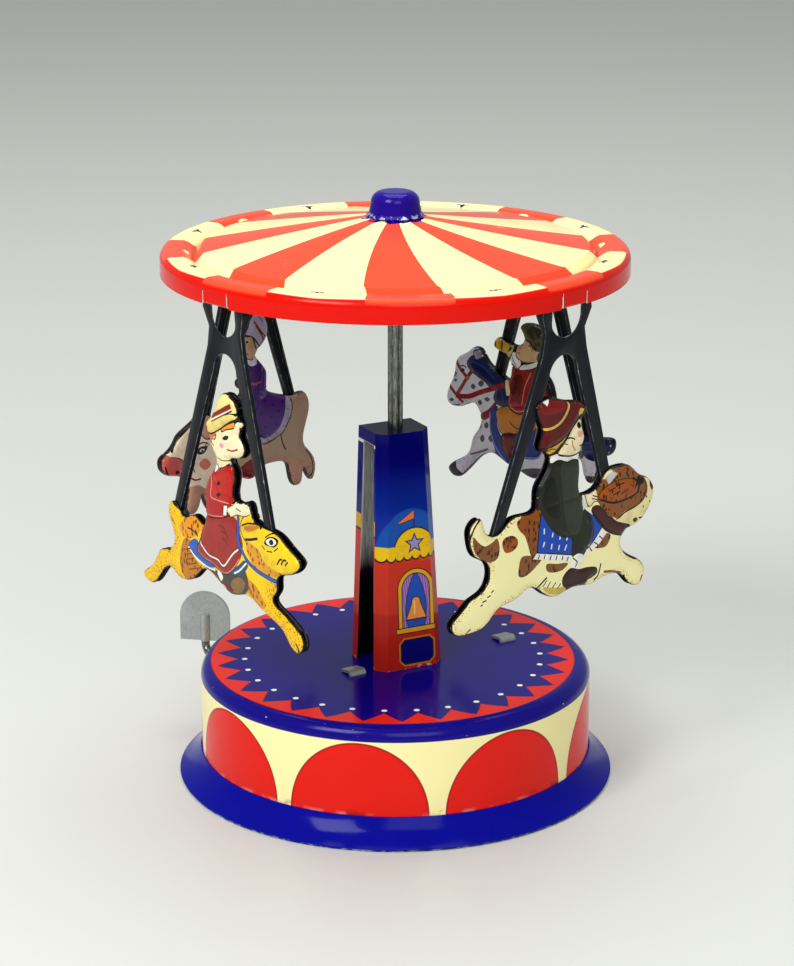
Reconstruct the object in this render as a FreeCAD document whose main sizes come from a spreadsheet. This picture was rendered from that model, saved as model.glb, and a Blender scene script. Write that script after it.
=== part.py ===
"""Wind-up tin carousel: a clockwork drum base, a folded tin tower, a striped canopy and four swing rides.

Millimetres and degrees, +Z up. The origin is on the spindle axis in the plane that the foot rests on.
+X is to the right of someone who looks along +Y at the front of the toy.
"""
import FreeCAD, Part
import math
import os
import re
import Sketcher

# Driving sizes of the toy. Each is read by its name and written only here.
SIZES = {
    # Sheet and fits
    "Tin": 0.35,
    "HeavyTin": 0.5,
    "MotorTin": 0.8,
    "Slip": 0.05,
    "Air": 0.3,
    # Foot and drum
    "FootFlare": 6.3,
    "FootRise": 7.4,
    "FootEdge": 0.8,
    "FootHollow": 16.0,
    "LedgeReach": 3.9,
    "DrumRadius": 53.9,
    "DrumTop": 32.1,
    "DrumCorner": 3.6,
    "PlateHem": 2.4,
    # Tower
    "TowerRise": 66.1,
    "TowerFootWide": 20.6,
    "TowerFootFront": 10.3,
    "TowerFootBack": 6.2,
    "TowerTopWide": 15.8,
    "TowerTopDeep": 12.8,
    "TowerTurn": 27.0,
    "TowerFlange": 3.2,
    "TowerBevel": 2.8,
    "TowerBrow": 3.4,
    "TabWide": 5.0,
    "TabReach": 2.4,
    # Shaft, canopy and cap
    "TubeRadius": 2.05,
    "TubeWall": 0.4,
    "TubeFoot": 8.0,
    "SpindleTop": 16.0,
    "CanopyRadius": 62.5,
    "RimHeight": 148.3,
    "SkirtDrop": 6.4,
    "RimCorner": 2.4,
    "RimWide": 5.5,
    "TroughInset": 8.8,
    "TroughHalf": 2.2,
    "TroughEase": 0.4,
    "TroughSink": 1.8,
    "ShoulderRise": 0.4,
    "HubRise": 8.0,
    "HubRadius": 7.0,
    "CapRadius": 7.0,
    "CapRise": 6.8,
    "CapCrown": 6.5,
    "CapCorner": 3.0,
    "CapFlare": 7.7,
    "CapSkirt": 0.6,
    "CollarRadius": 3.4,
    "CollarFlange": 6.0,
    "CollarDrop": 5.0,
    # Hooks of the canopy
    "HookInset": 2.7,
    "HookDrop": 5.7,
    "HookWide": 9.0,
    "HookGap": 1.5,
    "HookSeat": 0.2,
    "HookBend": 0.8,
    "HookLip": 0.9,
    "SlitWide": 0.5,
    "SlitRise": 3.4,
    "RabbitAngle": 223.3,
    "DogAngle": 316.5,
    "HorseAngle": 46.5,
    "PigAngle": 136.5,
    "RabbitSkew": -5.0,
    "DogSkew": -5.0,
    "HorseSkew": 0.0,
    "PigSkew": 0.0,
    # Hangers
    "HangerDepth": 2.6,
    "EyeHalf": 5.1,
    "EyeDrop": 9.0,
    "BarRise": 2.4,
    "BarHalf": 4.6,
    "RingHalf": 8.7,
    "RingDrop": 2.5,
    "RingBend": 5.0,
    "NeckHalf": 7.0,
    "NeckDrop": 7.4,
    "YokeHalf": 7.8,
    "YokeDrop": 12.6,
    "CrotchDrop": 13.6,
    "CrotchHalf": 4.7,
    "LegFoot": 20.6,
    "LegDrop": 60.0,
    "LegWide": 3.0,
    # Figures
    "FigureRelief": 1.2,
    "BellyTabHalf": 1.5,
    "BellyTabPlace": 9.0,
    "BellyTabDrop": 62.0,
    # Clockwork frame
    "MotorTurn": 32.4,
    "MotorFront": 6.7,
    "MotorDeep": 18.0,
    "PlateLeft": 41.0,
    "PlateRight": 38.5,
    "PlateFoot": 4.6,
    "PlateHead": 29.6,
    "WindowLeft": 11.0,
    "WindowRight": 30.0,
    "WindowLow": 10.0,
    "WindowHigh": 24.0,
    "LugLeft": -16.4,
    "LugRight": 33.2,
    "LugWide": 4.9,
    "LugReach": 5.0,
    "LugRise": 1.4,
    "ShoulderWide": 9.0,
    "PillarRadius": 1.25,
    "PillarInset": 2.4,
    "RivetRadius": 1.1,
    "RivetRise": 0.4,
    "TenonRadius": 0.7,
    "BridgeReach": 2.0,
    "BridgeWide": 8.0,
    "BridgeTall": 4.8,
    # Clockwork train
    "AxleHeight": 20.2,
    "AxleRadius": 1.2,
    "PivotRadius": 0.7,
    "GearModule": 0.5,
    "TipShare": 0.85,
    "RootShare": 1.25,
    "ToothShare": 0.19,
    "GapShare": 0.3,
    "PressureAngle": 20.0,
    "GreatTeeth": 42,
    "LayPinionTeeth": 16,
    "LayWheelTeeth": 36,
    "CrownPinionTeeth": 15,
    "CrownTeeth": 24,
    "SpindlePinionTeeth": 12,
    "WheelTin": 1.0,
    "PinionDeep": 2.4,
    "CrownFace": 1.8,
    "CrownSlot": 0.98,
    "CrownTooth": 0.85,
    "GreatPlace": -2.6,
    "LayPlace": 9.5,
    "RatchetTeeth": 12,
    "RatchetRadius": 5.0,
    "RatchetDepth": 0.9,
    "RatchetDeep": 1.2,
    "ClickPost": 8.4,
    "ClickTin": 1.0,
    "SpringTurns": 7,
    "SpringPitch": 1.0,
    "SpringTin": 0.3,
    "SpringDeep": 7.4,
    "CoreRadius": 3.0,
    # Winding key
    "KeyStandoff": 13.5,
    "KeyBend": 3.0,
    "KeyTurn": -10.0,
    "KeyFoot": 3.5,
    "KeyWide": 14.7,
    "KeySide": 7.5,
    "KeyTall": 14.9,
    "KeyTin": 0.9,
    "KeyChannel": 8.0,
    "KeySleeve": 1.55,
}

# Sizes that follow from the driving ones: radii, heights and the lines of the clockwork
FORMULAS = {
    "FootRadius": "DrumRadius + FootFlare",
    "LedgeRadius": "DrumRadius - LedgeReach",
    "Ceiling": "DrumTop - Tin",
    "RimFlat": "CanopyRadius - RimWide",
    "TroughRadius": "CanopyRadius - TroughInset",
    "Apex": "RimHeight + HubRise",
    "Skirt": "RimHeight - SkirtDrop",
    "HookRadius": "CanopyRadius - HookInset",
    "HookHeight": "RimHeight - HookDrop",
    "FrontFace": "-MotorFront + MotorTin / 2",
    "BackFace": "MotorDeep - MotorFront - MotorTin / 2",
    "LayLine": "-GearModule * (LayWheelTeeth + CrownPinionTeeth) / 2",
    "KeyLine": "LayLine - GearModule * (GreatTeeth + LayPinionTeeth) / 2",
    "KeyReach": "sqrt(DrumRadius * DrumRadius - KeyLine * KeyLine) + KeyStandoff",
}

# Points of the rider-and-animal outlines, in the plane of each swing: along the ride, up from the hook.
RABBIT = (
    (0.5, -24), (4.5, -24), (7, -26.5), (7.5, -29), (10, -30), (8, -33.5), (10, -36), (8.5, -39.5),
    (4, -41), (5.5, -44), (5, -51), (8, -51.5), (11, -50.5), (12.5, -52.5), (13.5, -54.5), (18.5, -55.5),
    (24, -56), (29, -58.5), (33.5, -61.5), (31, -64.5), (23.5, -68.5), (23.5, -71), (21.5, -74), (26, -76.5),
    (30.5, -78.5), (34.5, -82), (32.5, -85.5), (29, -84.5), (26, -81.5), (21, -79.5), (15, -77.5), (10, -76),
    (3.5, -77.5), (-2.5, -75.5), (-9.5, -74), (-13, -77), (-17, -79), (-22, -79), (-25, -77.5), (-30, -81),
    (-35.5, -84.5), (-38.5, -83), (-34.5, -79.5), (-29.5, -73.5), (-25, -72), (-23, -68.5), (-25.5, -62.5),
    (-25, -59.5), (-22.5, -58.5), (-18.5, -61.5), (-13, -60), (-9.5, -61.5), (-7.5, -53.5), (-6.5, -48.5),
    (-2.5, -42.5), (-5.5, -37), (-6, -33), (-3, -29),
)
DOG = (
    (-10, -24.5), (-6, -24), (0.5, -26), (6, -28), (6.5, -30), (5, -32), (6, -36.5), (4.5, -40),
    (4.5, -44.5), (5, -51.5), (9, -52), (12, -50.5), (14, -48), (18.5, -47), (23, -47.5), (27.5, -51),
    (30.5, -52.5), (32.5, -56), (30.5, -61), (26, -64.5), (22, -65.5), (20.5, -68.5), (22.5, -71.5),
    (27.5, -74.5), (30, -78), (28.5, -81.5), (24, -80.5), (21, -77.5), (15, -76.5), (9.5, -77.5), (2.5, -77),
    (-3, -78), (-7.5, -76.5), (-12.5, -73.5), (-17.5, -75.5), (-23.5, -76.5), (-28, -80), (-34.5, -81),
    (-39.5, -79.5), (-40, -77.5), (-36.5, -74.5), (-34, -72.5), (-29, -70.5), (-27, -66.5), (-28, -63.5),
    (-32, -61), (-34, -56.5), (-33.5, -52.5), (-30.5, -51), (-28.5, -55), (-24, -56.5), (-19.5, -53.5),
    (-11, -52.5), (-10.5, -48), (-6.5, -41.5), (-6.5, -39.5), (-10, -37), (-9, -32.5), (-11, -27.5),
)
HORSE = (
    (23.5, -38), (19.5, -37), (17, -40), (11.5, -43), (8.5, -44), (8.5, -37.5), (14, -35), (13.5, -33),
    (9, -33), (4, -33), (2.5, -30.5), (4, -28), (-2, -26.5), (-5, -29), (-2.5, -36.5), (-7, -42), (-9.5, -49),
    (-15, -54.5), (-22, -55), (-27, -54.5), (-30, -54.5), (-30, -58.5), (-27, -60.5), (-25.5, -62.5),
    (-24.5, -66.5), (-22.5, -69), (-20.5, -67.5), (-19, -63), (-11.5, -66), (-6, -70), (-1.5, -72), (3, -71),
    (8.5, -69.5), (14.5, -67.5), (19, -69.5), (22.5, -73), (25, -75.5), (29, -77.5), (31.5, -75.5),
    (27, -71.5), (23, -67.5), (22, -64), (19, -59), (21, -54), (28, -56), (32, -55), (32, -51.5),
    (29.5, -46), (28.5, -41.5),
)
PIG = (
    (3, -22), (-4, -23), (-6, -26.5), (-4, -32.5), (-1.5, -34.5), (-5, -39.5), (-5.5, -45.5), (-9.5, -48),
    (-18, -49.5), (-20.5, -49.5), (-22.5, -52), (-21.5, -59), (-20.5, -65), (-23, -68), (-25, -74.5),
    (-23.5, -77), (-20, -72.5), (-19, -77), (-17, -77.5), (-15, -75), (-13.5, -70), (-7.5, -68.5),
    (-3.5, -69), (0.5, -71.5), (5.5, -70), (11, -71.5), (12.5, -76), (15.5, -78), (18.5, -75.5), (20, -72),
    (21.5, -75.5), (24, -77), (26, -75), (25, -69), (27, -65.5), (31.5, -64), (35, -61.5), (35, -58.5),
    (31, -56), (28.5, -53), (24, -50.5), (19, -48.5), (14, -50), (11, -48), (9.5, -44), (11.5, -42.5),
    (11, -41), (7, -40), (5.5, -35), (7, -31), (4.5, -28),
)
FIGURES = {"rabbit": RABBIT, "dog": DOG, "horse": HORSE, "pig": PIG}

doc = FreeCAD.newDocument("TinCarousel")
sheet = doc.addObject("Spreadsheet::Sheet", "Sizes")
cells = list(SIZES.items()) + [(name, f"={formula}") for name, formula in FORMULAS.items()]
for row, (alias, content) in enumerate(cells, start=1):
    sheet.set(f"A{row}", alias)
    sheet.set(f"B{row}", str(content))
    sheet.setAlias(f"B{row}", alias)
doc.recompute()

pieces = {}


def value(text):
    """The number that a formula of sheet names comes to."""
    return float(sheet.evalExpression(str(text)))


def bound(text):
    """The same formula as another object of the document reads it."""
    return re.sub(r"\b([A-Z][A-Za-z]+)\b", r"Sizes.\1", str(text))


def piece(label):
    """A new body, which is one part of the toy."""
    body = doc.addObject("PartDesign::Body", label)
    body.Label = label
    pieces[label] = body
    return body


def sketch_on(body, plane, name, offset=None):
    """An empty sketch on one of the body's own origin planes, moved along the plane's normal."""
    sketch = body.newObject("Sketcher::SketchObject", f"{body.Name}_{name}")
    support = [feature for feature in body.Origin.OriginFeatures if feature.Role == plane][0]
    sketch.AttachmentSupport = (support, [""])
    sketch.MapMode = "FlatFace"
    if offset is not None:
        sketch.setExpression("AttachmentOffset.Base.z", bound(offset))
    return sketch


def fix(sketch, kind, geometry, point, formula):
    """Hold one coordinate of a sketch point at a formula."""
    index = sketch.addConstraint(Sketcher.Constraint(kind, -1, 1, geometry, point, value(formula)))
    sketch.setExpression(f"Constraints[{index}]", bound(formula))


def outline(sketch, corners, bends=None):
    """A closed outline through the corners. bends maps a corner to the radius of the arc that leaves it;
    a positive radius turns left, a negative one right."""
    bends = bends or {}
    first = sketch.GeometryCount
    places = [FreeCAD.Vector(value(x), value(y), 0) for x, y in corners]
    ends = []
    for index, start in enumerate(places):
        stop = places[(index + 1) % len(places)]
        if index in bends:
            radius = value(bends[index])
            along = stop - start
            side = FreeCAD.Vector(-along.y, along.x, 0).normalize() * math.copysign(1.0, radius)
            reach = math.sqrt(max(radius ** 2 - (along.Length / 2) ** 2, 0.0))
            centre = (start + stop) * 0.5 + side * reach
            sketch.addGeometry(Part.Arc(start, centre - side * abs(radius), stop))
            ends.append((1, 2) if radius > 0 else (2, 1))
        else:
            sketch.addGeometry(Part.LineSegment(start, stop))
            ends.append((1, 2))
    for index, (x, y) in enumerate(corners):
        following = (index + 1) % len(corners)
        sketch.addConstraint(Sketcher.Constraint(
            "Coincident", first + index, ends[index][1], first + following, ends[following][0]
        ))
        fix(sketch, "DistanceX", first + index, ends[index][0], x)
        fix(sketch, "DistanceY", first + index, ends[index][0], y)
        if index in bends:
            formula = f"abs({bends[index]})"
            number = sketch.addConstraint(Sketcher.Constraint("Radius", first + index, value(formula)))
            sketch.setExpression(f"Constraints[{number}]", bound(formula))


def ring(sketch, radius, x="0", y="0"):
    """A circle of the sketch."""
    index = sketch.addGeometry(
        Part.Circle(FreeCAD.Vector(value(x), value(y), 0), FreeCAD.Vector(0, 0, 1), value(radius))
    )
    fix(sketch, "DistanceX", index, 3, x)
    fix(sketch, "DistanceY", index, 3, y)
    number = sketch.addConstraint(Sketcher.Constraint("Radius", index, value(radius)))
    sketch.setExpression(f"Constraints[{number}]", bound(radius))


def box_outline(sketch, left, low, right, high):
    """A rectangle between two opposite corners."""
    outline(sketch, [(left, low), (right, low), (right, high), (left, high)])


def pad(body, sketch, length, name="pad", midplane=False, backwards=False):
    """Material on one side of a sketch, or half on each side."""
    feature = body.newObject("PartDesign::Pad", f"{sketch.Name}_{name}")
    feature.Profile = sketch
    feature.setExpression("Length", bound(length))
    feature.Midplane = midplane
    feature.Reversed = backwards
    return feature


def pocket(body, sketch, length=None, name="cut", backwards=False, midplane=False):
    """A cut from a sketch: through everything, or of a given depth."""
    feature = body.newObject("PartDesign::Pocket", f"{sketch.Name}_{name}")
    feature.Profile = sketch
    feature.Midplane = midplane
    if length is None:
        feature.Type = "ThroughAll"
        feature.Midplane = True
    else:
        feature.setExpression("Length", bound(length))
        feature.Reversed = backwards
    return feature


def turned(body, sketch):
    """A solid of revolution about the sketch's upright axis."""
    feature = body.newObject("PartDesign::Revolution", f"{sketch.Name}_turn")
    feature.Profile = sketch
    feature.ReferenceAxis = (sketch, ["V_Axis"])
    feature.Angle = 360
    return feature


def around(body, feature, count, sketch):
    """Repeat a feature round the axis that stands on the sketch."""
    pattern = body.newObject("PartDesign::PolarPattern", f"{sketch.Name}_round")
    pattern.Originals = [feature]
    pattern.Axis = (sketch, ["N_Axis"])
    pattern.Angle = 360
    pattern.setExpression("Occurrences", bound(count))
    body.Tip = pattern
    return pattern


def stand(body, x="0", y="0", z="0", turn=None):
    """Place a body in the toy, turned about the upright axis."""
    if turn is not None:
        body.Placement.Rotation = FreeCAD.Rotation(FreeCAD.Vector(0, 0, 1), 1)
        body.setExpression("Placement.Rotation.Angle", bound(turn))
    body.setExpression("Placement.Base.x", bound(x))
    body.setExpression("Placement.Base.y", bound(y))
    body.setExpression("Placement.Base.z", bound(z))


def in_motor(body, along, back, height="AxleHeight"):
    """Place a body in the clockwork: along its plates, back from the spindle, and up."""
    stand(
        body,
        f"({along}) * cos(MotorTurn) - ({back}) * sin(MotorTurn)",
        f"({along}) * sin(MotorTurn) + ({back}) * cos(MotorTurn)",
        height,
        "MotorTurn",
    )


# Foot and drum

def foot_ring():
    """The flared foot: a flat ledge to rest on, a rolled edge and a hollow flare up to the drum's wall."""
    body = piece("foot_ring")
    profile = sketch_on(body, "XZ_Plane", "profile")
    collar = "DrumRadius + Slip"
    outline(
        profile,
        [
            ("LedgeRadius", "0"), ("FootRadius - FootEdge", "0"), ("FootRadius", "FootEdge"),
            (f"{collar} + Tin", "FootRise"), (collar, "FootRise"), (collar, "FootRise - Tin"),
            ("FootRadius - 1.5 * Tin", "FootEdge + Tin / 3"), ("FootRadius - 2 * Tin - FootEdge", "Tin"),
            ("LedgeRadius", "Tin"),
        ],
        {1: "FootEdge", 2: "-FootHollow", 5: "FootHollow", 6: "-FootEdge"},
    )
    turned(body, profile)


def turned_slot(body, name, turn, left, low, right, high):
    """A slot through the drum's top, in a frame that is turned about the spindle."""
    slot = sketch_on(body, "XY_Plane", name, "DrumTop")
    slot.AttachmentOffset = FreeCAD.Placement(
        slot.AttachmentOffset.Base, FreeCAD.Rotation(FreeCAD.Vector(0, 0, 1), 1)
    )
    slot.setExpression("AttachmentOffset.Rotation.Angle", bound(turn))
    box_outline(slot, f"{left} - Slip", f"{low} - Slip", f"{right} + Slip", f"{high} + Slip")
    pocket(body, slot, "3 * Tin")


def drum_shell():
    """The drawn cup: top, rounded shoulder and wall, pierced for spindle, tower, motor lugs and key."""
    body = piece("drum_shell")
    profile = sketch_on(body, "XZ_Plane", "profile")
    outline(
        profile,
        [
            ("TubeRadius + Slip", "Ceiling"), ("DrumRadius - DrumCorner", "Ceiling"),
            ("DrumRadius - Tin", "DrumTop - DrumCorner"), ("DrumRadius - Tin", "Tin"),
            ("DrumRadius", "Tin"), ("DrumRadius", "DrumTop - DrumCorner"),
            ("DrumRadius - DrumCorner", "DrumTop"), ("TubeRadius + Slip", "DrumTop"),
        ],
        {1: "-(DrumCorner - Tin)", 5: "DrumCorner"},
    )
    turned(body, profile)
    turned_slot(
        body, "front_slot", "TowerTurn",
        "-TabWide / 2", "-TowerFootFront", "TabWide / 2", "-TowerFootFront + HeavyTin",
    )
    turned_slot(
        body, "back_slot", "TowerTurn",
        "-TabWide / 2", "TowerFootBack - HeavyTin", "TabWide / 2", "TowerFootBack",
    )
    for lug in ("LugLeft", "LugRight"):
        turned_slot(
            body, f"{lug}_slot", "MotorTurn",
            f"{lug} - LugWide / 2", "-MotorFront - MotorTin / 2",
            f"{lug} + LugWide / 2", "-MotorFront + MotorTin / 2",
        )
    hole = sketch_on(body, "XZ_Plane", "key_hole")
    hole.AttachmentOffset = FreeCAD.Placement(
        FreeCAD.Vector(0, 0, 0), FreeCAD.Rotation(FreeCAD.Vector(0, 1, 0), 1)
    )
    hole.setExpression("AttachmentOffset.Rotation.Angle", bound("MotorTurn"))
    ring(hole, "AxleRadius + Air", "KeyLine", "AxleHeight")
    pocket(body, hole, "DrumRadius + Tin")


def bottom_plate():
    """The shallow tin dish that closes the drum from below, seated on the foot's ledge."""
    body = piece("bottom_plate")
    profile = sketch_on(body, "XZ_Plane", "profile")
    rim = "DrumRadius - Tin - Slip"
    outline(
        profile,
        [
            ("0", "Tin"), (rim, "Tin"), (rim, "PlateHem"), (f"{rim} - Tin", "PlateHem"),
            (f"{rim} - Tin", "2 * Tin"), ("0", "2 * Tin"),
        ],
    )
    turned(body, profile)


# Tower

def booth_outline(sketch, wide, front, back, inset="0"):
    """The booth's plan: a rectangle with bevelled front corners, drawn a wall's thickness inside if asked."""
    side = f"({wide} / 2 - {inset})"
    bevel = f"({front} - TowerBevel - {inset} * (sqrt(2) - 1))"
    nose = f"({wide} / 2 - TowerBevel - {inset} * (sqrt(2) - 1))"
    outline(
        sketch,
        [
            (f"-{side}", f"{back} - {inset}"), (f"-{side}", f"-{bevel}"), (f"-{nose}", f"-({front} - {inset})"),
            (nose, f"-({front} - {inset})"), (side, f"-{bevel}"), (side, f"{back} - {inset}"),
        ],
    )


def tower():
    """The folded tin booth: printed front and back walls, side flanges, a top with the shaft's hole."""
    body = piece("tower")
    foot = sketch_on(body, "XY_Plane", "foot")
    booth_outline(foot, "TowerFootWide", "TowerFootFront", "TowerFootBack")
    head = sketch_on(body, "XY_Plane", "head", "TowerRise")
    booth_outline(head, "TowerTopWide", "TowerTopDeep / 2", "TowerTopDeep / 2")
    walls = body.newObject("PartDesign::AdditiveLoft", "tower_walls")
    walls.Profile = foot
    walls.Sections = [head]
    walls.Ruled = True
    hollow_foot = sketch_on(body, "XY_Plane", "hollow_foot")
    booth_outline(hollow_foot, "TowerFootWide", "TowerFootFront", "TowerFootBack", "HeavyTin")
    hollow_head = sketch_on(body, "XY_Plane", "hollow_head", "TowerRise - HeavyTin")
    booth_outline(hollow_head, "TowerTopWide", "TowerTopDeep / 2", "TowerTopDeep / 2", "HeavyTin")
    hollow = body.newObject("PartDesign::SubtractiveLoft", "tower_hollow")
    hollow.Profile = hollow_foot
    hollow.Sections = [hollow_head]
    hollow.Ruled = True
    sides = sketch_on(body, "YZ_Plane", "side_windows")
    outline(
        sides,
        [
            ("-TowerFootFront + TowerBevel + HeavyTin", "-HeavyTin"),
            ("TowerFootBack - TowerFlange", "-HeavyTin"),
            ("TowerTopDeep / 2 - TowerFlange", "TowerRise - TowerBrow"),
            ("-TowerTopDeep / 2 + TowerBevel + HeavyTin", "TowerRise - TowerBrow"),
        ],
    )
    pocket(body, sides)
    bearing = sketch_on(body, "XY_Plane", "bearing", "TowerRise")
    ring(bearing, "TubeRadius + Slip")
    pocket(body, bearing, "TowerBrow")
    for side, outer, inner in (
        ("front", "-TowerFootFront", "-TowerFootFront + {}"),
        ("back", "TowerFootBack", "TowerFootBack - {}"),
    ):
        tab = sketch_on(body, "XY_Plane", f"{side}_tab")
        box_outline(tab, "-TabWide / 2", outer, "TabWide / 2", inner.format("HeavyTin"))
        pad(body, tab, "Tin + Slip + HeavyTin", backwards=True)
        bend = sketch_on(body, "XY_Plane", f"{side}_bend", "-Tin - Slip")
        box_outline(bend, "-TabWide / 2", outer, "TabWide / 2", inner.format("TabReach"))
        pad(body, bend, "HeavyTin", backwards=True)
    stand(body, "0", "0", "DrumTop", "TowerTurn")


# Shaft, canopy and cap

def round_tube(label, low, high, radius, bore=None):
    """A straight round bar or tube on the spindle axis."""
    body = piece(label)
    section = sketch_on(body, "XY_Plane", "section", low)
    ring(section, radius)
    if bore is not None:
        ring(section, bore)
    pad(body, section, f"({high}) - ({low})")
    return body


def shaft_tube():
    """The tin tube that carries the canopy, pressed over the spindle below the drum's top."""
    round_tube(
        "shaft_tube", "AxleHeight + TubeFoot", "Apex + CapRise - Tin - Air",
        "TubeRadius", "TubeRadius - TubeWall",
    )


def canopy():
    """The spun roof: flat top, cone, rolled trough, flat rim and skirt, with four hook tongues."""
    body = piece("canopy")
    profile = sketch_on(body, "XZ_Plane", "profile")
    roof = [
        ("HubRadius", "Apex"),
        ("TroughRadius - TroughHalf", "RimHeight + ShoulderRise"),
        ("TroughRadius", "RimHeight - TroughSink"),
        ("TroughRadius + TroughHalf", "RimHeight - TroughEase"),
        ("RimFlat", "RimHeight"),
    ]
    under = [(x, f"{z} - Tin") for x, z in roof]
    outline(
        profile,
        [("TubeRadius + Slip", "Apex")] + roof + [
            ("CanopyRadius - RimCorner", "RimHeight"), ("CanopyRadius", "RimHeight - RimCorner"),
            ("CanopyRadius", "Skirt"), ("CanopyRadius - Tin", "Skirt"),
            ("CanopyRadius - Tin", "RimHeight - RimCorner"),
            ("CanopyRadius - RimCorner", "RimHeight - Tin"),
        ] + under[::-1] + [("TubeRadius + Slip", "Apex - Tin")],
        {6: "-RimCorner", 10: "RimCorner - Tin"},
    )
    turned(body, profile)
    for name in FIGURES:
        hook(body, name)


def upright_sketch(body, name, turn):
    """A sketch in the upright plane through the spindle that is turned to an azimuth."""
    sketch = sketch_on(body, "XZ_Plane", name)
    sketch.AttachmentOffset = FreeCAD.Placement(
        FreeCAD.Vector(0, 0, 0), FreeCAD.Rotation(FreeCAD.Vector(0, 1, 0), 1)
    )
    sketch.setExpression("AttachmentOffset.Rotation.Angle", bound(turn))
    return sketch


def hook(body, name):
    """Free a tongue of the skirt by two slits and curl it inwards into a hook for one swing."""
    turn = f"{name.capitalize()}Angle"
    gap = upright_sketch(body, f"{name}_slits", turn)
    box_outline(
        gap, "CanopyRadius - 6 * Tin", "Skirt - Tin", "CanopyRadius + Tin", "Skirt + SlitRise"
    )
    pocket(body, gap, "HookWide + 2 * SlitWide", midplane=True)
    tongue = upright_sketch(body, f"{name}_tongue", turn)
    outer = "(CanopyRadius - Tin / 4)"
    inner = f"({outer} - Tin)"
    lip = "(HookRadius - HookGap - Tin)"
    floor = "(HookHeight - HookSeat)"
    low = f"({floor} - Tin)"
    root = "(Skirt + SlitRise + 2 * Tin)"
    outline(
        tongue,
        [
            (outer, root), (outer, f"{low} + HookBend"), (f"{outer} - HookBend", low),
            (f"{lip} + HookBend", low), (lip, f"{low} + HookBend"), (lip, "HookHeight + HookLip"),
            (f"{lip} + Tin", "HookHeight + HookLip"), (f"{lip} + Tin", f"{low} + HookBend"),
            (f"{lip} + HookBend", floor), (f"{outer} - HookBend", floor),
            (inner, f"{low} + HookBend"), (inner, root),
        ],
        {1: "-HookBend", 3: "-HookBend", 7: "HookBend - Tin", 9: "HookBend - Tin"},
    )
    pad(body, tongue, "HookWide", midplane=True)


def canopy_hub():
    """The flanged collar under the canopy, pressed on the shaft tube."""
    body = piece("canopy_hub")
    profile = sketch_on(body, "XZ_Plane", "profile")
    seat = "(Apex - Tin)"
    outline(
        profile,
        [
            ("TubeRadius", f"{seat} - CollarDrop"), ("CollarRadius", f"{seat} - CollarDrop"),
            ("CollarRadius", f"{seat} - MotorTin"), ("CollarFlange", f"{seat} - MotorTin"),
            ("CollarFlange", seat), ("TubeRadius", seat),
        ],
    )
    turned(body, profile)


def cap():
    """The drawn thimble over the end of the tube, with its crimped skirt spread on the canopy."""
    body = piece("cap")
    profile = sketch_on(body, "XZ_Plane", "profile")
    top = "(Apex + CapRise)"
    waist = "(Apex + 2 * CapSkirt)"
    outline(
        profile,
        [
            ("CapRadius + Tin", "Apex"), ("CapFlare", "Apex + Tin"), ("CapFlare", "Apex + CapSkirt"),
            ("CapRadius", waist), ("CapCrown", f"{top} - CapCorner"), ("CapCrown - CapCorner", top),
            ("0", top), ("0", f"{top} - Tin"), ("CapCrown - CapCorner", f"{top} - Tin"),
            ("CapCrown - Tin", f"{top} - CapCorner"), ("CapRadius - Tin", waist),
            ("CapFlare - 1.5 * Tin", "Apex + CapSkirt"), ("CapRadius", "Apex"),
        ],
        {4: "CapCorner", 8: "-(CapCorner - Tin)"},
    )
    turned(body, profile)


# Swings

def place_swing(body, name):
    """Stand a piece of a swing at its hook, its length along the ride and its face outwards."""
    turn = f"{name.capitalize()}Angle"
    stand(
        body, f"HookRadius * cos({turn})", f"HookRadius * sin({turn})", "HookHeight",
        f"{turn} + {name.capitalize()}Skew + 90",
    )


def hanger_outline(sketch, inset):
    """The A-shaped hanger's outline, or the same outline moved inwards."""
    lean = "((LegFoot - YokeHalf) / (LegDrop - YokeDrop))"
    stretch = f"(1 / sqrt(1 + {lean} * {lean}))"
    foot_x = f"(LegFoot - ({inset}) * {stretch})"
    foot_z = f"(-LegDrop - ({inset}) * {stretch} * {lean})"
    heel_x = f"(LegFoot - (LegWide - ({inset})) * {stretch})"
    heel_z = f"(-LegDrop - (LegWide - ({inset})) * {stretch} * {lean})"
    right = [
        (foot_x, foot_z), (f"YokeHalf - ({inset}) * 1.04", "-YokeDrop"),
        (f"NeckHalf - ({inset})", "-NeckDrop"), (f"RingHalf - ({inset})", "-RingDrop"),
        (f"BarHalf - ({inset}) / 2", f"BarRise - ({inset})"),
    ]
    bow = f"(CrotchHalf + ({inset}))"
    bow_z = "-CrotchDrop - CrotchHalf"
    left = [(f"-({x})", z) for x, z in right[::-1]]
    outline(
        sketch,
        right + left + [
            (f"-{heel_x}", heel_z), (f"-{bow}", bow_z), ("0", f"-CrotchDrop + ({inset})"), (bow, bow_z),
            (heel_x, heel_z),
        ],
        {
            3: f"RingBend - ({inset})", 5: f"RingBend - ({inset})",
            9: f"LegWide / 2 - ({inset}) + Slip", 11: f"-{bow}", 12: f"-{bow}",
            14: f"LegWide / 2 - ({inset}) + Slip",
        },
    )


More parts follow.
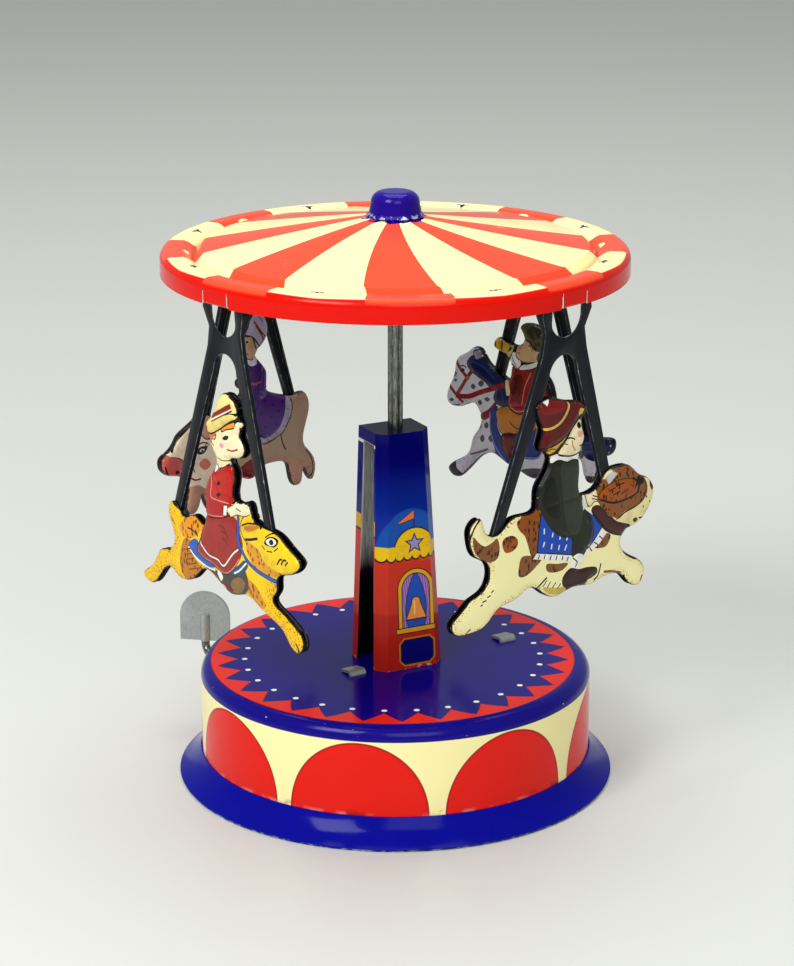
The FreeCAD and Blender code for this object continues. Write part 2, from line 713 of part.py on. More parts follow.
def hanger(name):
    """A pressed hanger: an eye for the hook, a neck and two legs, with its border folded inwards."""
    body = piece(f"{name}_hanger")
    back = "-HangerDepth + HeavyTin / 2"
    blank = sketch_on(body, "XZ_Plane", "blank", back)
    hanger_outline(blank, "0")
    pad(body, blank, "HangerDepth")
    tray = sketch_on(body, "XZ_Plane", "tray", back)
    hanger_outline(tray, "HeavyTin")
    pocket(body, tray, "HangerDepth - HeavyTin", backwards=True)
    eye = sketch_on(body, "XZ_Plane", "eye")
    outline(
        eye,
        [
            ("-EyeHalf", "0"), ("-EyeHalf", "EyeHalf - EyeDrop"), ("0", "-EyeDrop"),
            ("EyeHalf", "EyeHalf - EyeDrop"), ("EyeHalf", "0"),
        ],
        {1: "EyeHalf", 2: "EyeHalf"},
    )
    pocket(body, eye)
    place_swing(body, name)


def figure_outline(sketch, name):
    """The rounded outline of an animal and its rider, as one closed curve in several stretches."""
    points = [FreeCAD.Vector(x, z, 0) for x, z in FIGURES[name]]
    whole = Part.BSplineCurve()
    whole.interpolate(points, PeriodicFlag=True)
    knots = whole.getKnots()
    stretches = round((len(knots) - 1) / 6)
    marks = [knots[round(index * (len(knots) - 1) / stretches)] for index in range(stretches + 1)]
    for start, stop in zip(marks, marks[1:]):
        stretch = whole.copy()
        stretch.segment(start, stop)
        sketch.addGeometry(stretch)


def figure(name):
    """The two pressed halves of an animal and its rider, and the belly tabs that hold them together."""
    outer = piece(f"{name}_outer_half")
    front = sketch_on(outer, "XZ_Plane", "outline", "HeavyTin / 2")
    figure_outline(front, name)
    pad(outer, front, "FigureRelief")
    place_swing(outer, name)
    inner = piece(f"{name}_inner_half")
    back = sketch_on(inner, "XZ_Plane", "outline", "-HangerDepth + HeavyTin / 2")
    figure_outline(back, name)
    pad(inner, back, "FigureRelief", backwards=True)
    tabs = sketch_on(inner, "XZ_Plane", "tabs", "-HangerDepth + HeavyTin / 2")
    for sign in ("-", ""):
        middle = f"{sign}BellyTabPlace"
        box_outline(
            tabs, f"{middle} - BellyTabHalf", "-BellyTabDrop - HeavyTin",
            f"{middle} + BellyTabHalf", "-BellyTabDrop",
        )
    pad(inner, tabs, "HangerDepth")
    place_swing(inner, name)


# Clockwork frame

def slab(body, name, back):
    """A sketch across the clockwork, seen from its front, at a distance back from the spindle."""
    return sketch_on(body, "XZ_Plane", name, f"-({back})")


def bar(body, name, radius, front, back, x="0", z="0"):
    """A round bar from front to back."""
    section = slab(body, name, back)
    ring(section, radius, x, z)
    return pad(body, section, f"({back}) - ({front})")


PILLAR_PLACES = [
    (x, z)
    for x in ("(-PlateLeft + PillarInset)", "(PlateRight - PillarInset)")
    for z in ("(PlateFoot + PillarInset)", "(PlateHead - PillarInset)")
]


def motor_plate(label, front, with_lugs):
    """A side plate of the clockwork with its bearing holes and window; the front one has the two lugs."""
    body = piece(label)
    back = f"({front} + MotorTin)"
    blank = slab(body, "blank", back)
    corners = [("-PlateLeft", "PlateFoot"), ("PlateRight", "PlateFoot"), ("PlateRight", "PlateHead")]
    for lug in ("LugRight", "LugLeft"):
        corners += [
            (f"{lug} + ShoulderWide / 2", "PlateHead"), (f"{lug} + ShoulderWide / 2", "Ceiling"),
            (f"{lug} - ShoulderWide / 2", "Ceiling"), (f"{lug} - ShoulderWide / 2", "PlateHead"),
        ]
    outline(blank, corners + [("-PlateLeft", "PlateHead")])
    pad(body, blank, "MotorTin")
    holes = slab(body, "holes", back)
    ring(holes, "AxleRadius + Slip", "KeyLine", "AxleHeight")
    for line in ("LayLine", "0"):
        ring(holes, "PivotRadius + Slip", line, "AxleHeight")
    for x, z in PILLAR_PLACES:
        ring(holes, "TenonRadius + Slip", x, z)
    pocket(body, holes)
    window = slab(body, "window", back)
    box_outline(window, "WindowLeft", "WindowLow", "WindowRight", "WindowHigh")
    pocket(body, window)
    if with_lugs:
        for lug in ("LugLeft", "LugRight"):
            arch = sketch_on(body, "YZ_Plane", f"{lug}_arch", lug)
            toe = f"({front} + LugReach)"
            outline(
                arch,
                [
                    (front, "Ceiling"), (back, "Ceiling"), (back, "DrumTop + Slip"),
                    (f"{back} + LugRise / 2", "DrumTop + LugRise - MotorTin"), (toe, "DrumTop + Slip"),
                    (toe, "DrumTop + MotorTin"), (f"{front} + LugRise", "DrumTop + LugRise"),
                    (front, "DrumTop + Slip"),
                ],
                {6: "LugRise"},
            )
            pad(body, arch, "LugWide", midplane=True)
    in_motor(body, "0", "0", "0")


def motor_pillars():
    """Four riveted pillars that hold the two plates apart."""
    body = piece("motor_pillars")
    for name, radius, front, back in (
        ("shanks", "PillarRadius", "FrontFace", "BackFace"),
        ("front_tenons", "TenonRadius", "FrontFace - MotorTin", "FrontFace"),
        ("back_tenons", "TenonRadius", "BackFace", "BackFace + MotorTin"),
        ("front_heads", "RivetRadius", "FrontFace - MotorTin - RivetRise", "FrontFace - MotorTin"),
        ("back_heads", "RivetRadius", "BackFace + MotorTin", "BackFace + MotorTin + RivetRise"),
    ):
        section = slab(body, name, back)
        for x, z in PILLAR_PLACES:
            ring(section, radius, x, z)
        pad(body, section, f"({back}) - ({front})")
    in_motor(body, "0", "0", "0")


def shaft_bridge():
    """The bracket on the front plate whose hole carries the foot of the spindle."""
    body = piece("shaft_bridge")
    low = "(AxleHeight + AxleRadius + Air)"
    profile = sketch_on(body, "YZ_Plane", "profile")
    outline(
        profile,
        [
            ("FrontFace", low), ("BridgeReach", low), ("BridgeReach", f"{low} + MotorTin"),
            ("FrontFace + MotorTin", f"{low} + MotorTin"),
            ("FrontFace + MotorTin", f"{low} + BridgeTall"), ("FrontFace", f"{low} + BridgeTall"),
        ],
    )
    pad(body, profile, "BridgeWide", midplane=True)
    hole = sketch_on(body, "XY_Plane", "hole", f"{low} + MotorTin")
    ring(hole, "PivotRadius + Slip")
    pocket(body, hole, "2 * MotorTin")
    in_motor(body, "0", "0", "0")


def spindle():
    """The solid foot of the rotor: a pivot in the bridge and a bar up into the tube."""
    body = piece("spindle")
    shoulder = "(AxleHeight + AxleRadius + Air + MotorTin + Slip)"
    section = sketch_on(body, "XY_Plane", "bar", shoulder)
    ring(section, "TubeRadius - TubeWall")
    pad(body, section, f"AxleHeight + SpindleTop - {shoulder}")
    pivot = sketch_on(body, "XY_Plane", "pivot", shoulder)
    ring(pivot, "PivotRadius")
    pad(body, pivot, "MotorTin + Slip", backwards=True)


# Clockwork train

def half_gap(teeth, radius, depth):
    """Half the angle of a tooth gap at a radius that lies a share of the module below the pitch line."""
    tooth = f"GearModule * (ToothShare * pi + tan(PressureAngle) * {depth})"
    return f"(180 / {teeth} - 180 / pi * {tooth} / {radius})"


def tooth_gap(sketch, teeth, phase):
    """The straight-sided gap between two teeth, centred on an angle."""
    pitch = f"(GearModule * {teeth} / 2)"
    root = f"({pitch} - GearModule * RootShare)"
    tip = f"({pitch} + GearModule * (TipShare + GapShare))"
    root_half = half_gap(teeth, root, "RootShare")
    tip_half = half_gap(teeth, tip, "-(TipShare + GapShare)")
    outline(
        sketch,
        [
            (f"{root} * cos({phase} - {root_half})", f"{root} * sin({phase} - {root_half})"),
            (f"{tip} * cos({phase} - {tip_half})", f"{tip} * sin({phase} - {tip_half})"),
            (f"{tip} * cos({phase} + {tip_half})", f"{tip} * sin({phase} + {tip_half})"),
            (f"{root} * cos({phase} + {root_half})", f"{root} * sin({phase} + {root_half})"),
        ],
    )


def toothed_wheel(label, teeth, front, back, bore, phase, line):
    """A spur wheel or pinion on one of the cross arbors."""
    body = piece(label)
    blank = slab(body, "blank", back)
    ring(blank, f"GearModule * ({teeth} / 2 + TipShare)")
    ring(blank, bore)
    pad(body, blank, f"({back}) - ({front})")
    gap = slab(body, "gap", back)
    tooth_gap(gap, teeth, phase)
    around(body, pocket(body, gap), teeth, gap)
    in_motor(body, line, "0")
    return body


def great_wheel():
    """The great wheel, loose on the winding arbor, with the post of its click."""
    body = toothed_wheel(
        "great_wheel", "GreatTeeth", "GreatPlace", "(GreatPlace + WheelTin)", "AxleRadius + Slip",
        "180 / GreatTeeth", "KeyLine",
    )
    bar(body, "post", "TenonRadius", "GreatPlace - ClickTin - 2 * Air", "GreatPlace", "0", "ClickPost")


def ratchet_wheel():
    """The saw-toothed ratchet, fast on the winding arbor."""
    body = piece("ratchet_wheel")
    back = "(GreatPlace - Air)"
    blank = slab(body, "blank", back)
    ring(blank, "RatchetRadius")
    ring(blank, "AxleRadius")
    pad(body, blank, "RatchetDeep")
    gap = slab(body, "gap", back)
    root = "(RatchetRadius - RatchetDepth)"
    tip = "(RatchetRadius + Air)"
    pitch = "(360 / RatchetTeeth)"
    outline(
        gap,
        [
            (f"{root} * cos({pitch} * 0.04)", f"{root} * sin({pitch} * 0.04)"),
            (f"{tip} * cos({pitch} * 0.04)", f"{tip} * sin({pitch} * 0.04)"),
            (f"{tip} * cos({pitch} * 0.94)", f"{tip} * sin({pitch} * 0.94)"),
        ],
    )
    around(body, pocket(body, gap), "RatchetTeeth", gap)
    in_motor(body, "KeyLine", "0")


def click():
    """The click that drops on the ratchet, on its post on the great wheel."""
    body = piece("ratchet_click")
    back = "(GreatPlace - Air)"
    boss = slab(body, "boss", back)
    ring(boss, "2 * TenonRadius")
    pad(body, boss, "ClickTin")
    arm = slab(body, "arm", back)
    reach = "(ClickPost - RatchetRadius)"
    outline(
        arm,
        [
            ("-ClickTin", "-0.8 * ClickTin"), (f"0.9 * {reach}", "-ClickPost + RatchetRadius * 0.86"),
            (f"1.18 * {reach}", "-ClickPost + RatchetRadius * 0.92"), ("1.2 * ClickTin", "0.2 * ClickTin"),
        ],
    )
    pad(body, arm, "ClickTin")
    hole = slab(body, "hole", back)
    ring(hole, "TenonRadius + Slip")
    pocket(body, hole)
    in_motor(body, "KeyLine", "0", "AxleHeight + ClickPost")


def click_spring():
    """The leaf that presses the click home, riveted on the great wheel."""
    body = piece("click_spring")
    leaf = slab(body, "leaf", "GreatPlace")
    outline(
        leaf,
        [
            ("0.68 * ClickPost", "0.62 * ClickPost"), ("0.87 * ClickPost", "0.62 * ClickPost"),
            ("0.87 * ClickPost", "0.80 * ClickPost"), ("0.70 * ClickPost", "0.83 * ClickPost"),
            ("0.28 * ClickPost", "0.98 * ClickPost"), ("0.28 * ClickPost", "0.94 * ClickPost"),
            ("0.68 * ClickPost", "0.79 * ClickPost"),
        ],
    )
    pad(body, leaf, "ClickTin + Air")
    in_motor(body, "KeyLine", "0")


def cross_arbor(label, line):
    """A shouldered arbor across the clockwork, with a pivot in each plate."""
    body = piece(label)
    bar(body, "bar", "AxleRadius", "FrontFace + 2 * Slip", "BackFace - 2 * Slip")
    bar(body, "front_pivot", "PivotRadius", "FrontFace - MotorTin - Air", "FrontFace + 2 * Slip")
    bar(body, "back_pivot", "PivotRadius", "BackFace - 2 * Slip", "BackFace + MotorTin + Air")
    in_motor(body, line, "0")


def crown_wheel():
    """The crown wheel, whose teeth stand on its face and turn the spindle's pinion."""
    body = piece("crown_wheel")
    pitch = "(GearModule * CrownTeeth / 2)"
    mesh = "(GearModule * SpindlePinionTeeth / 2)"
    face = f"({mesh} + GearModule * RootShare)"
    disc = slab(body, "disc", f"{face} + WheelTin")
    ring(disc, f"{pitch} + CrownFace / 2")
    ring(disc, "AxleRadius")
    pad(body, disc, "WheelTin")
    rim = slab(body, "rim", face)
    ring(rim, f"{pitch} + CrownFace / 2")
    ring(rim, f"{pitch} - CrownFace / 2")
    pad(body, rim, "CrownTooth")
    gap = slab(body, "gap", f"{face} - CrownTooth")
    half = "(CrownSlot / 2)"
    low = f"({pitch} - CrownFace)"
    high = f"({pitch} + CrownFace)"
    turn = "(90 - 180 / CrownTeeth)"
    outline(
        gap,
        [
            (f"{low} * cos({turn}) - {half} * sin({turn})", f"{low} * sin({turn}) + {half} * cos({turn})"),
            (f"{low} * cos({turn}) + {half} * sin({turn})", f"{low} * sin({turn}) - {half} * cos({turn})"),
            (f"{high} * cos({turn}) + {half} * sin({turn})", f"{high} * sin({turn}) - {half} * cos({turn})"),
            (f"{high} * cos({turn}) - {half} * sin({turn})", f"{high} * sin({turn}) + {half} * cos({turn})"),
        ],
    )
    around(body, pocket(body, gap, "CrownTooth"), "CrownTeeth", gap)
    in_motor(body, "0", "0")


def spindle_pinion():
    """The pinion on the spindle, above the crown wheel's axis."""
    body = piece("spindle_pinion")
    low = "(AxleHeight + GearModule * CrownTeeth / 2 - PinionDeep / 2)"
    blank = sketch_on(body, "XY_Plane", "blank")
    ring(blank, "GearModule * (SpindlePinionTeeth / 2 + TipShare)")
    ring(blank, "TubeRadius - TubeWall")
    pad(body, blank, "PinionDeep")
    gap = sketch_on(body, "XY_Plane", "gap")
    tooth_gap(gap, "SpindlePinionTeeth", "90")
    around(body, pocket(body, gap), "SpindlePinionTeeth", gap)
    stand(body, "0", "0", low, "MotorTurn")


def winding_arbor():
    """The winding wire: through both plates and the drum's wall, then bent up into the key."""
    body = piece("winding_arbor")
    bar(body, "core", "CoreRadius", "0", "SpringDeep")
    section = slab(body, "wire", "FrontFace - MotorTin - Air")
    ring(section, "AxleRadius")
    route = sketch_on(body, "YZ_Plane", "route")
    start = FreeCAD.Vector(value("FrontFace - MotorTin - Air"), 0, 0)
    bend = value("KeyBend")
    reach = value("KeyReach")
    turn_in = FreeCAD.Vector(reach - bend, 0, 0)
    turn_out = FreeCAD.Vector(reach, bend, 0)
    middle = FreeCAD.Vector(reach - bend * (1 - math.sin(math.pi / 4)), bend * (1 - math.cos(math.pi / 4)), 0)
    head = FreeCAD.Vector(reach, value("KeyFoot + KeyChannel - HeavyTin"), 0)
    route.addGeometry(Part.LineSegment(start, turn_in))
    route.addGeometry(Part.Arc(turn_in, middle, turn_out))
    route.addGeometry(Part.LineSegment(turn_out, head))
    route.addConstraint(Sketcher.Constraint("Coincident", 0, 2, 1, 1))
    route.addConstraint(Sketcher.Constraint("Coincident", 1, 2, 2, 1))
    for index, point, x, z in (
        (0, 1, "FrontFace - MotorTin - Air", "0"), (0, 2, "KeyReach - KeyBend", "0"),
        (2, 1, "KeyReach", "KeyBend"), (2, 2, "KeyReach", "KeyFoot + KeyChannel - HeavyTin"),
    ):
        fix(route, "DistanceX", index, point, x)
        fix(route, "DistanceY", index, point, z)
    number = route.addConstraint(Sketcher.Constraint("Radius", 1, bend))
    route.setExpression(f"Constraints[{number}]", bound("KeyBend"))
    wire = body.newObject("PartDesign::AdditivePipe", "winding_wire")
    wire.Profile = section
    wire.Spine = route
    in_motor(body, "KeyLine", "0")


def key_plate():
    """The round-topped key, with the pressed channel that grips the wire."""
    body = piece("key_plate")
    shoulder = "(KeyTall - KeySide + KeyWide / 2) / 2 + Slip"
    blank = sketch_on(body, "XZ_Plane", "blank")
    outline(
        blank,
        [
            ("-KeyWide / 2", "0"), ("KeyWide / 2", "0"), ("KeyWide / 2", "KeySide"), ("0", "KeyTall"),
            ("-KeyWide / 2", "KeySide"),
        ],
        {2: shoulder, 3: shoulder},
    )
    pad(body, blank, "KeyTin", midplane=True)
    sleeve = sketch_on(body, "XY_Plane", "sleeve")
    ring(sleeve, "KeySleeve")
    pad(body, sleeve, "KeyChannel")
    bore = sketch_on(body, "XY_Plane", "bore")
    ring(bore, "AxleRadius")
    pocket(body, bore, "KeyChannel - HeavyTin", backwards=True)
    stand(
        body,
        "KeyLine * cos(MotorTurn) - KeyReach * sin(MotorTurn)",
        "KeyLine * sin(MotorTurn) + KeyReach * cos(MotorTurn)",
        "AxleHeight + KeyFoot",
        "KeyTurn",
    )


def mainspring():
    """The coiled ribbon that drives the toy: half turns about two centres, then straight to its pillar."""
    body = piece("mainspring")
    coil = slab(body, "coil", "SpringDeep")
    pillar_x, pillar_z = PILLAR_PLACES[1]
    away = value(f"{pillar_x} - KeyLine")
    up = value(f"{pillar_z} - AxleHeight")
    distance = math.hypot(away, up)
    pitch = value("SpringPitch")
    ribbon = value("SpringTin")
    first = value("CoreRadius + HeavyTin")
    half_turns = 2 * int(value("SpringTurns"))
    last = first + pitch * half_turns / 2 + ribbon
    side = math.atan2(up, away) - math.acos((last + value("PillarRadius")) / distance)
    out = FreeCAD.Vector(math.cos(side), math.sin(side), 0)
    ahead = FreeCAD.Vector(-math.sin(side), math.cos(side), 0)
    tail = math.sqrt(distance ** 2 - (last + value("PillarRadius")) ** 2) + value("PillarRadius") / 2
    ends = []
    for shift in (0.0, ribbon):
        place = first + shift
        start = out * place
        for count in range(half_turns):
            far = -(place + pitch / 2) if place > 0 else -(place - pitch / 2)
            middle = (place + far) / 2
            crest = out * middle + ahead * ((place - far) / 2)
            coil.addGeometry(Part.Arc(out * place, crest, out * far))
            place = far
        coil.addGeometry(Part.LineSegment(out * place, out * place + ahead * tail))
        ends.append((start, out * place + ahead * tail))
    coil.addGeometry(Part.LineSegment(ends[0][0], ends[1][0]))
    coil.addGeometry(Part.LineSegment(ends[0][1], ends[1][1]))
    pad(body, coil, "SpringDeep")
    in_motor(body, "KeyLine", "0")


# The whole toy

def build():
    """Make every piece."""
    foot_ring()
    drum_shell()
    bottom_plate()
    tower()
    shaft_tube()
    canopy()
    canopy_hub()
    cap()
    for name in FIGURES:
        hanger(name)
        figure(name)
    motor_plate("motor_plate_front", "(-MotorFront - MotorTin / 2)", True)
    motor_plate("motor_plate_back", "BackFace", False)
    motor_pillars()
    shaft_bridge()
    spindle()
    spindle_pinion()
    great_wheel()
    ratchet_wheel()
    click()
    click_spring()
    cross_arbor("lay_arbor", "LayLine")
    toothed_wheel(
        "lay_pinion", "LayPinionTeeth", "(GreatPlace + WheelTin / 2 - PinionDeep / 2)",
        "(GreatPlace + WheelTin / 2 + PinionDeep / 2)", "AxleRadius", "180", "LayLine",
    )
    toothed_wheel(
        "lay_wheel", "LayWheelTeeth", "(LayPlace - WheelTin / 2)", "(LayPlace + WheelTin / 2)", "AxleRadius",
        "180 / LayWheelTeeth", "LayLine",
    )
    cross_arbor("crown_arbor", "0")
    toothed_wheel(
        "crown_pinion", "CrownPinionTeeth", "(LayPlace - PinionDeep / 2)", "(LayPlace + PinionDeep / 2)",
        "AxleRadius", "180", "0",
    )
    crown_wheel()
    winding_arbor()
    key_plate()
    mainspring()


def check_and_write():
    """Stop if anything in the document failed, then write each piece."""
    failed = [item.Name for item in doc.Objects if {"Invalid", "Error"} & set(item.State)]
    if failed:
        raise RuntimeError(f"failed features: {failed}")
    for label, item in pieces.items():
        if item.Shape.isNull() or not item.Shape.isValid():
            raise RuntimeError(f"bad shape: {label}")
    os.makedirs("parts", exist_ok=True)
    for label, item in pieces.items():
        item.Shape.exportStep(f"parts/{label}.step")
        print(label, len(item.Shape.Solids), round(item.Shape.Volume, 2))


build()
doc.recompute()
check_and_write()
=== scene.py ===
"""Looks of the wind-up tin carousel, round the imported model. Lengths are in mm until they enter Blender."""
import math

import bmesh
import bpy
import numpy as np
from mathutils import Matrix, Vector
from mathutils.geometry import delaunay_2d_cdt


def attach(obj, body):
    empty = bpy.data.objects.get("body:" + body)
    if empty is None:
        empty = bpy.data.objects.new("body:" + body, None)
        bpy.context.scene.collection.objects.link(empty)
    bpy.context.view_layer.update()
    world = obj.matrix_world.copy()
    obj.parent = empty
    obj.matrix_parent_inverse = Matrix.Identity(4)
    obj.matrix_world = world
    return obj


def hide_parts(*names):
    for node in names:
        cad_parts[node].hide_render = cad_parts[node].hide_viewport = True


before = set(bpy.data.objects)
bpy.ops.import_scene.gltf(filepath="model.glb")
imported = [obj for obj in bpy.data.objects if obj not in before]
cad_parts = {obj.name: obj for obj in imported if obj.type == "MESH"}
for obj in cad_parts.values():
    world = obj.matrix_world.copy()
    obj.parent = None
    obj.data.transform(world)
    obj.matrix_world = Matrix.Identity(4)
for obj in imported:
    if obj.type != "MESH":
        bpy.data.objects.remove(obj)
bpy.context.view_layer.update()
MM = 0.001

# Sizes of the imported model, in mm and degrees
APEX = 156.3
DRUM_TOP = 32.1
TOWER_TURN = 27.0
TOWER_RISE = 66.1
HOOK_RADIUS = 59.8
HOOK_HEIGHT = 142.6
LEG_DROP = 60.0
CROTCH_DROP = 13.6
HANGER_MIDDLE = -1.05
SOLID_HANGER_HALF = 1.3
TAB_PLACES = (-9.0, 9.0)
TAB_DROP = 62.0
TAB_HALF = 1.5
# The thin hanger made here: half its depth, how far below the hook it starts to thin and over what drop. Then
# how far each belly tab reaches to either side of the hanger's middle, in halves of that depth
HANGER_HALF = 0.65
THIN_START = 2.5
THIN_FADE = 4.0
TAB_REACH = 1.4
# Degrees from one panel, arch or tooth of the print to the next
PANEL_STEP = 45.0
ARCH_STEP = 45.0
TOOTH_STEP = 12.0
DEGREE = math.pi / 180
TO_DEGREES = 180 / math.pi
# The camera and the stage: places and the floor in metres, the tilt in radians, the lens in mm
CAMERA_PLACE = (0.00046, -0.738, 0.3084)
CAMERA_TILT = 0.2972
LENS = 128.49
FLOOR_HALF = 12
LAMP_AIM = Vector((0, 0, 0.08))
# Azimuth of each swing's hook and how far its figure is turned from the canopy's edge, in degrees, then how
# far the foot of its tail-side leg is bent outwards and how far the figure sits towards its nose, in mm
SWINGS = {
    "rabbit": (223.3, -5.0, 4.5, -1.5),
    "dog": (316.5, -5.0, 5.5, 1.0),
    "horse": (46.5, 0.0, 1.0, 1.8),
    "pig": (136.5, 0.0, 1.5, -1.8),
}


def linear(code):
    """A colour written as RRGGBB, as the linear values that the shaders take."""
    values = [int(code[i:i + 2], 16) / 255 for i in (0, 2, 4)]
    return tuple(v / 12.92 if v <= 0.04045 else ((v + 0.055) / 1.055) ** 2.4 for v in values) + (1.0,)


RED = linear("E21B10")
RED_LINE = linear("A3150C")
CREAM = linear("FBF0AE")
BLUE = linear("12067E")
FOOT_BLUE = linear("070A90")
CAP_BLUE = linear("1E028A")
TIN = linear("B4B8B8")
DARK = linear("0B0A10")


class Num:
    """A number that varies over a surface. Arithmetic on it adds math nodes."""

    def __init__(self, tree, source):
        self.tree = tree
        self.source = source

    def calc(self, operation, *others, clamp=False):
        node = self.tree.nodes.new("ShaderNodeMath")
        node.operation = operation
        node.use_clamp = clamp
        for place, item in zip(node.inputs, (self,) + others):
            if isinstance(item, Num):
                self.tree.links.new(item.source, place)
            else:
                place.default_value = item
        return Num(self.tree, node.outputs[0])

    def __add__(self, other):
        return self.calc("ADD", other)

    def __sub__(self, other):
        return self.calc("SUBTRACT", other)

    def __mul__(self, other):
        return self.calc("MULTIPLY", other)

    def __truediv__(self, other):
        return self.calc("DIVIDE", other)

    def __neg__(self):
        return self * -1.0

    __radd__ = __add__
    __rmul__ = __mul__

    def flipped(self):
        """One minus this, for a mask."""
        return self * -1.0 + 1.0

    def over(self, edge, soft=0.12):
        """Mask: 1 where this is above the edge."""
        return ((self - edge) * (1 / soft)).calc("ADD", 0.5, clamp=True)

    def under(self, edge, soft=0.12):
        """Mask: 1 where this is below the edge."""
        return ((self - edge) * (-1 / soft)).calc("ADD", 0.5, clamp=True)

    def between(self, low, high, soft=0.12):
        return self.over(low, soft) * self.under(high, soft)

    def size(self):
        return self.calc("ABSOLUTE")

    def least(self, other):
        return self.calc("MINIMUM", other)

    def most(self, other):
        return self.calc("MAXIMUM", other)

    def folded(self, period, centre=0.0):
        """This, measured from the nearest of a row of centres."""
        return (self - centre).calc("WRAP", period / 2, -period / 2)


def far(x, y):
    """Distance of a point from the origin of two numbers."""
    return (x * x + y * y).calc("SQRT")


class Finish:
    """A material under construction: the surface's coordinates, its layers of colour, gloss and bumps."""

    def __init__(self, name, colour, rough=0.2, metal=0.0):
        self.material = bpy.data.materials.new(name)
        self.material.use_nodes = True
        self.tree = self.material.node_tree
        self.tree.nodes.clear()
        self.place = self.tree.nodes.new("ShaderNodeTexCoord")
        scaled = self.tree.nodes.new("ShaderNodeVectorMath")
        scaled.operation = "SCALE"
        scaled.inputs["Scale"].default_value = 1 / MM
        self.tree.links.new(self.place.outputs["Object"], scaled.inputs[0])
        self.point = scaled.outputs[0]
        self.x, self.y, self.z = self.parts(self.point)
        self.nx, self.ny, self.nz = self.parts(self.place.outputs["Normal"])
        self.radius = far(self.x, self.y)
        self.colour = colour
        self.rough = rough
        self.metal = metal
        self.height = None

    def parts(self, source):
        split = self.tree.nodes.new("ShaderNodeSeparateXYZ")
        self.tree.links.new(source, split.inputs[0])
        return [Num(self.tree, out) for out in split.outputs]

    def azimuth(self):
        """Degrees round the spindle."""
        return self.y.calc("ARCTAN2", self.x) * TO_DEGREES

    def outward(self):
        """How far the surface faces away from the spindle."""
        return (self.nx * self.x + self.ny * self.y) / self.radius.most(0.01)

    def noise(self, scale, detail=3.0, rough=0.55, stretch=None):
        """Cloudy noise from 0 to 1 whose blobs are about `scale` mm, longer along the stretched axes."""
        node = self.tree.nodes.new("ShaderNodeTexNoise")
        node.inputs["Scale"].default_value = 1 / scale
        node.inputs["Detail"].default_value = detail
        node.inputs["Roughness"].default_value = rough
        source = self.point
        if stretch:
            turn = self.tree.nodes.new("ShaderNodeMapping")
            turn.inputs["Scale"].default_value = [1 / s for s in stretch]
            self.tree.links.new(self.point, turn.inputs[0])
            source = turn.outputs[0]
        self.tree.links.new(source, node.inputs["Vector"])
        return Num(self.tree, node.outputs[0])

    def cells(self, scale, stretch=None, turn=(0, 0, 0)):
        """Distance to the nearest of scattered points, in cells."""
        node = self.tree.nodes.new("ShaderNodeTexVoronoi")
        node.inputs["Scale"].default_value = 1 / scale
        place = self.tree.nodes.new("ShaderNodeMapping")
        place.inputs["Rotation"].default_value = turn
        place.inputs["Scale"].default_value = [1 / s for s in stretch or (1, 1, 1)]
        self.tree.links.new(self.point, place.inputs[0])
        self.tree.links.new(place.outputs[0], node.inputs["Vector"])
        return Num(self.tree, node.outputs["Distance"])

    def mixed(self, low, high, mask):
        node = self.tree.nodes.new("ShaderNodeMix")
        node.data_type = "RGBA"
        self.tree.links.new(mask.source, node.inputs["Factor"])
        for socket, item in ((node.inputs[6], low), (node.inputs[7], high)):
            if isinstance(item, tuple):
                socket.default_value = item
            else:
                self.tree.links.new(item, socket)
        return node.outputs[2]

    def layer(self, mask, colour, rough=None, metal=None):
        """Lay a colour over what is there, with its own gloss if given."""
        self.colour = self.mixed(self.colour, colour, mask)
        if rough is not None:
            self.rough = self.blended(self.rough, rough, mask)
        if metal is not None:
            self.metal = self.blended(self.metal, metal, mask)

    def blended(self, low, high, mask):
        if isinstance(low, Num):
            return low * mask.flipped() + mask * high
        return mask * (high - low) + low

    def raised(self, height):
        """Add a height in mm to the surface's fine relief."""
        self.height = height if self.height is None else self.height + height

    def done(self, specular=0.5):
        shader = self.tree.nodes.new("ShaderNodeBsdfPrincipled")
        output = self.tree.nodes.new("ShaderNodeOutputMaterial")
        self.tree.links.new(shader.outputs[0], output.inputs["Surface"])
        for name, item in (("Base Color", self.colour), ("Roughness", self.rough), ("Metallic", self.metal)):
            socket = shader.inputs[name]
            if isinstance(item, Num):
                self.tree.links.new(item.source, socket)
            elif isinstance(item, (tuple, float, int)):
                socket.default_value = item
            else:
                self.tree.links.new(item, socket)
        shader.inputs["Specular IOR Level"].default_value = specular
        if self.height is not None:
            node = self.tree.nodes.new("ShaderNodeBump")
            node.inputs["Strength"].default_value = 1.0
            node.inputs["Distance"].default_value = MM
            self.tree.links.new(self.height.source, node.inputs["Height"])
            self.tree.links.new(node.outputs[0], shader.inputs["Normal"])
        return self.material


def placed(name, data):
    """A new object in the scene."""
    item = bpy.data.objects.new(name, data)
    bpy.context.scene.collection.objects.link(item)
    return item


def dress(material, *names):
    for name in names:
        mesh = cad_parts[name].data
        mesh.materials.clear()
        mesh.materials.append(material)


def smooth_lacquer(finish, wave=0.02):
    """The faint waviness of lacquered tin, and fine dust in it."""
    finish.raised(finish.noise(7, 1) * wave)
    finish.raised(finish.noise(0.5, 2) * 0.0012)
    finish.rough = finish.blended(finish.rough, 0.32, finish.noise(11, 4).over(0.62, 0.3) * 0.6)


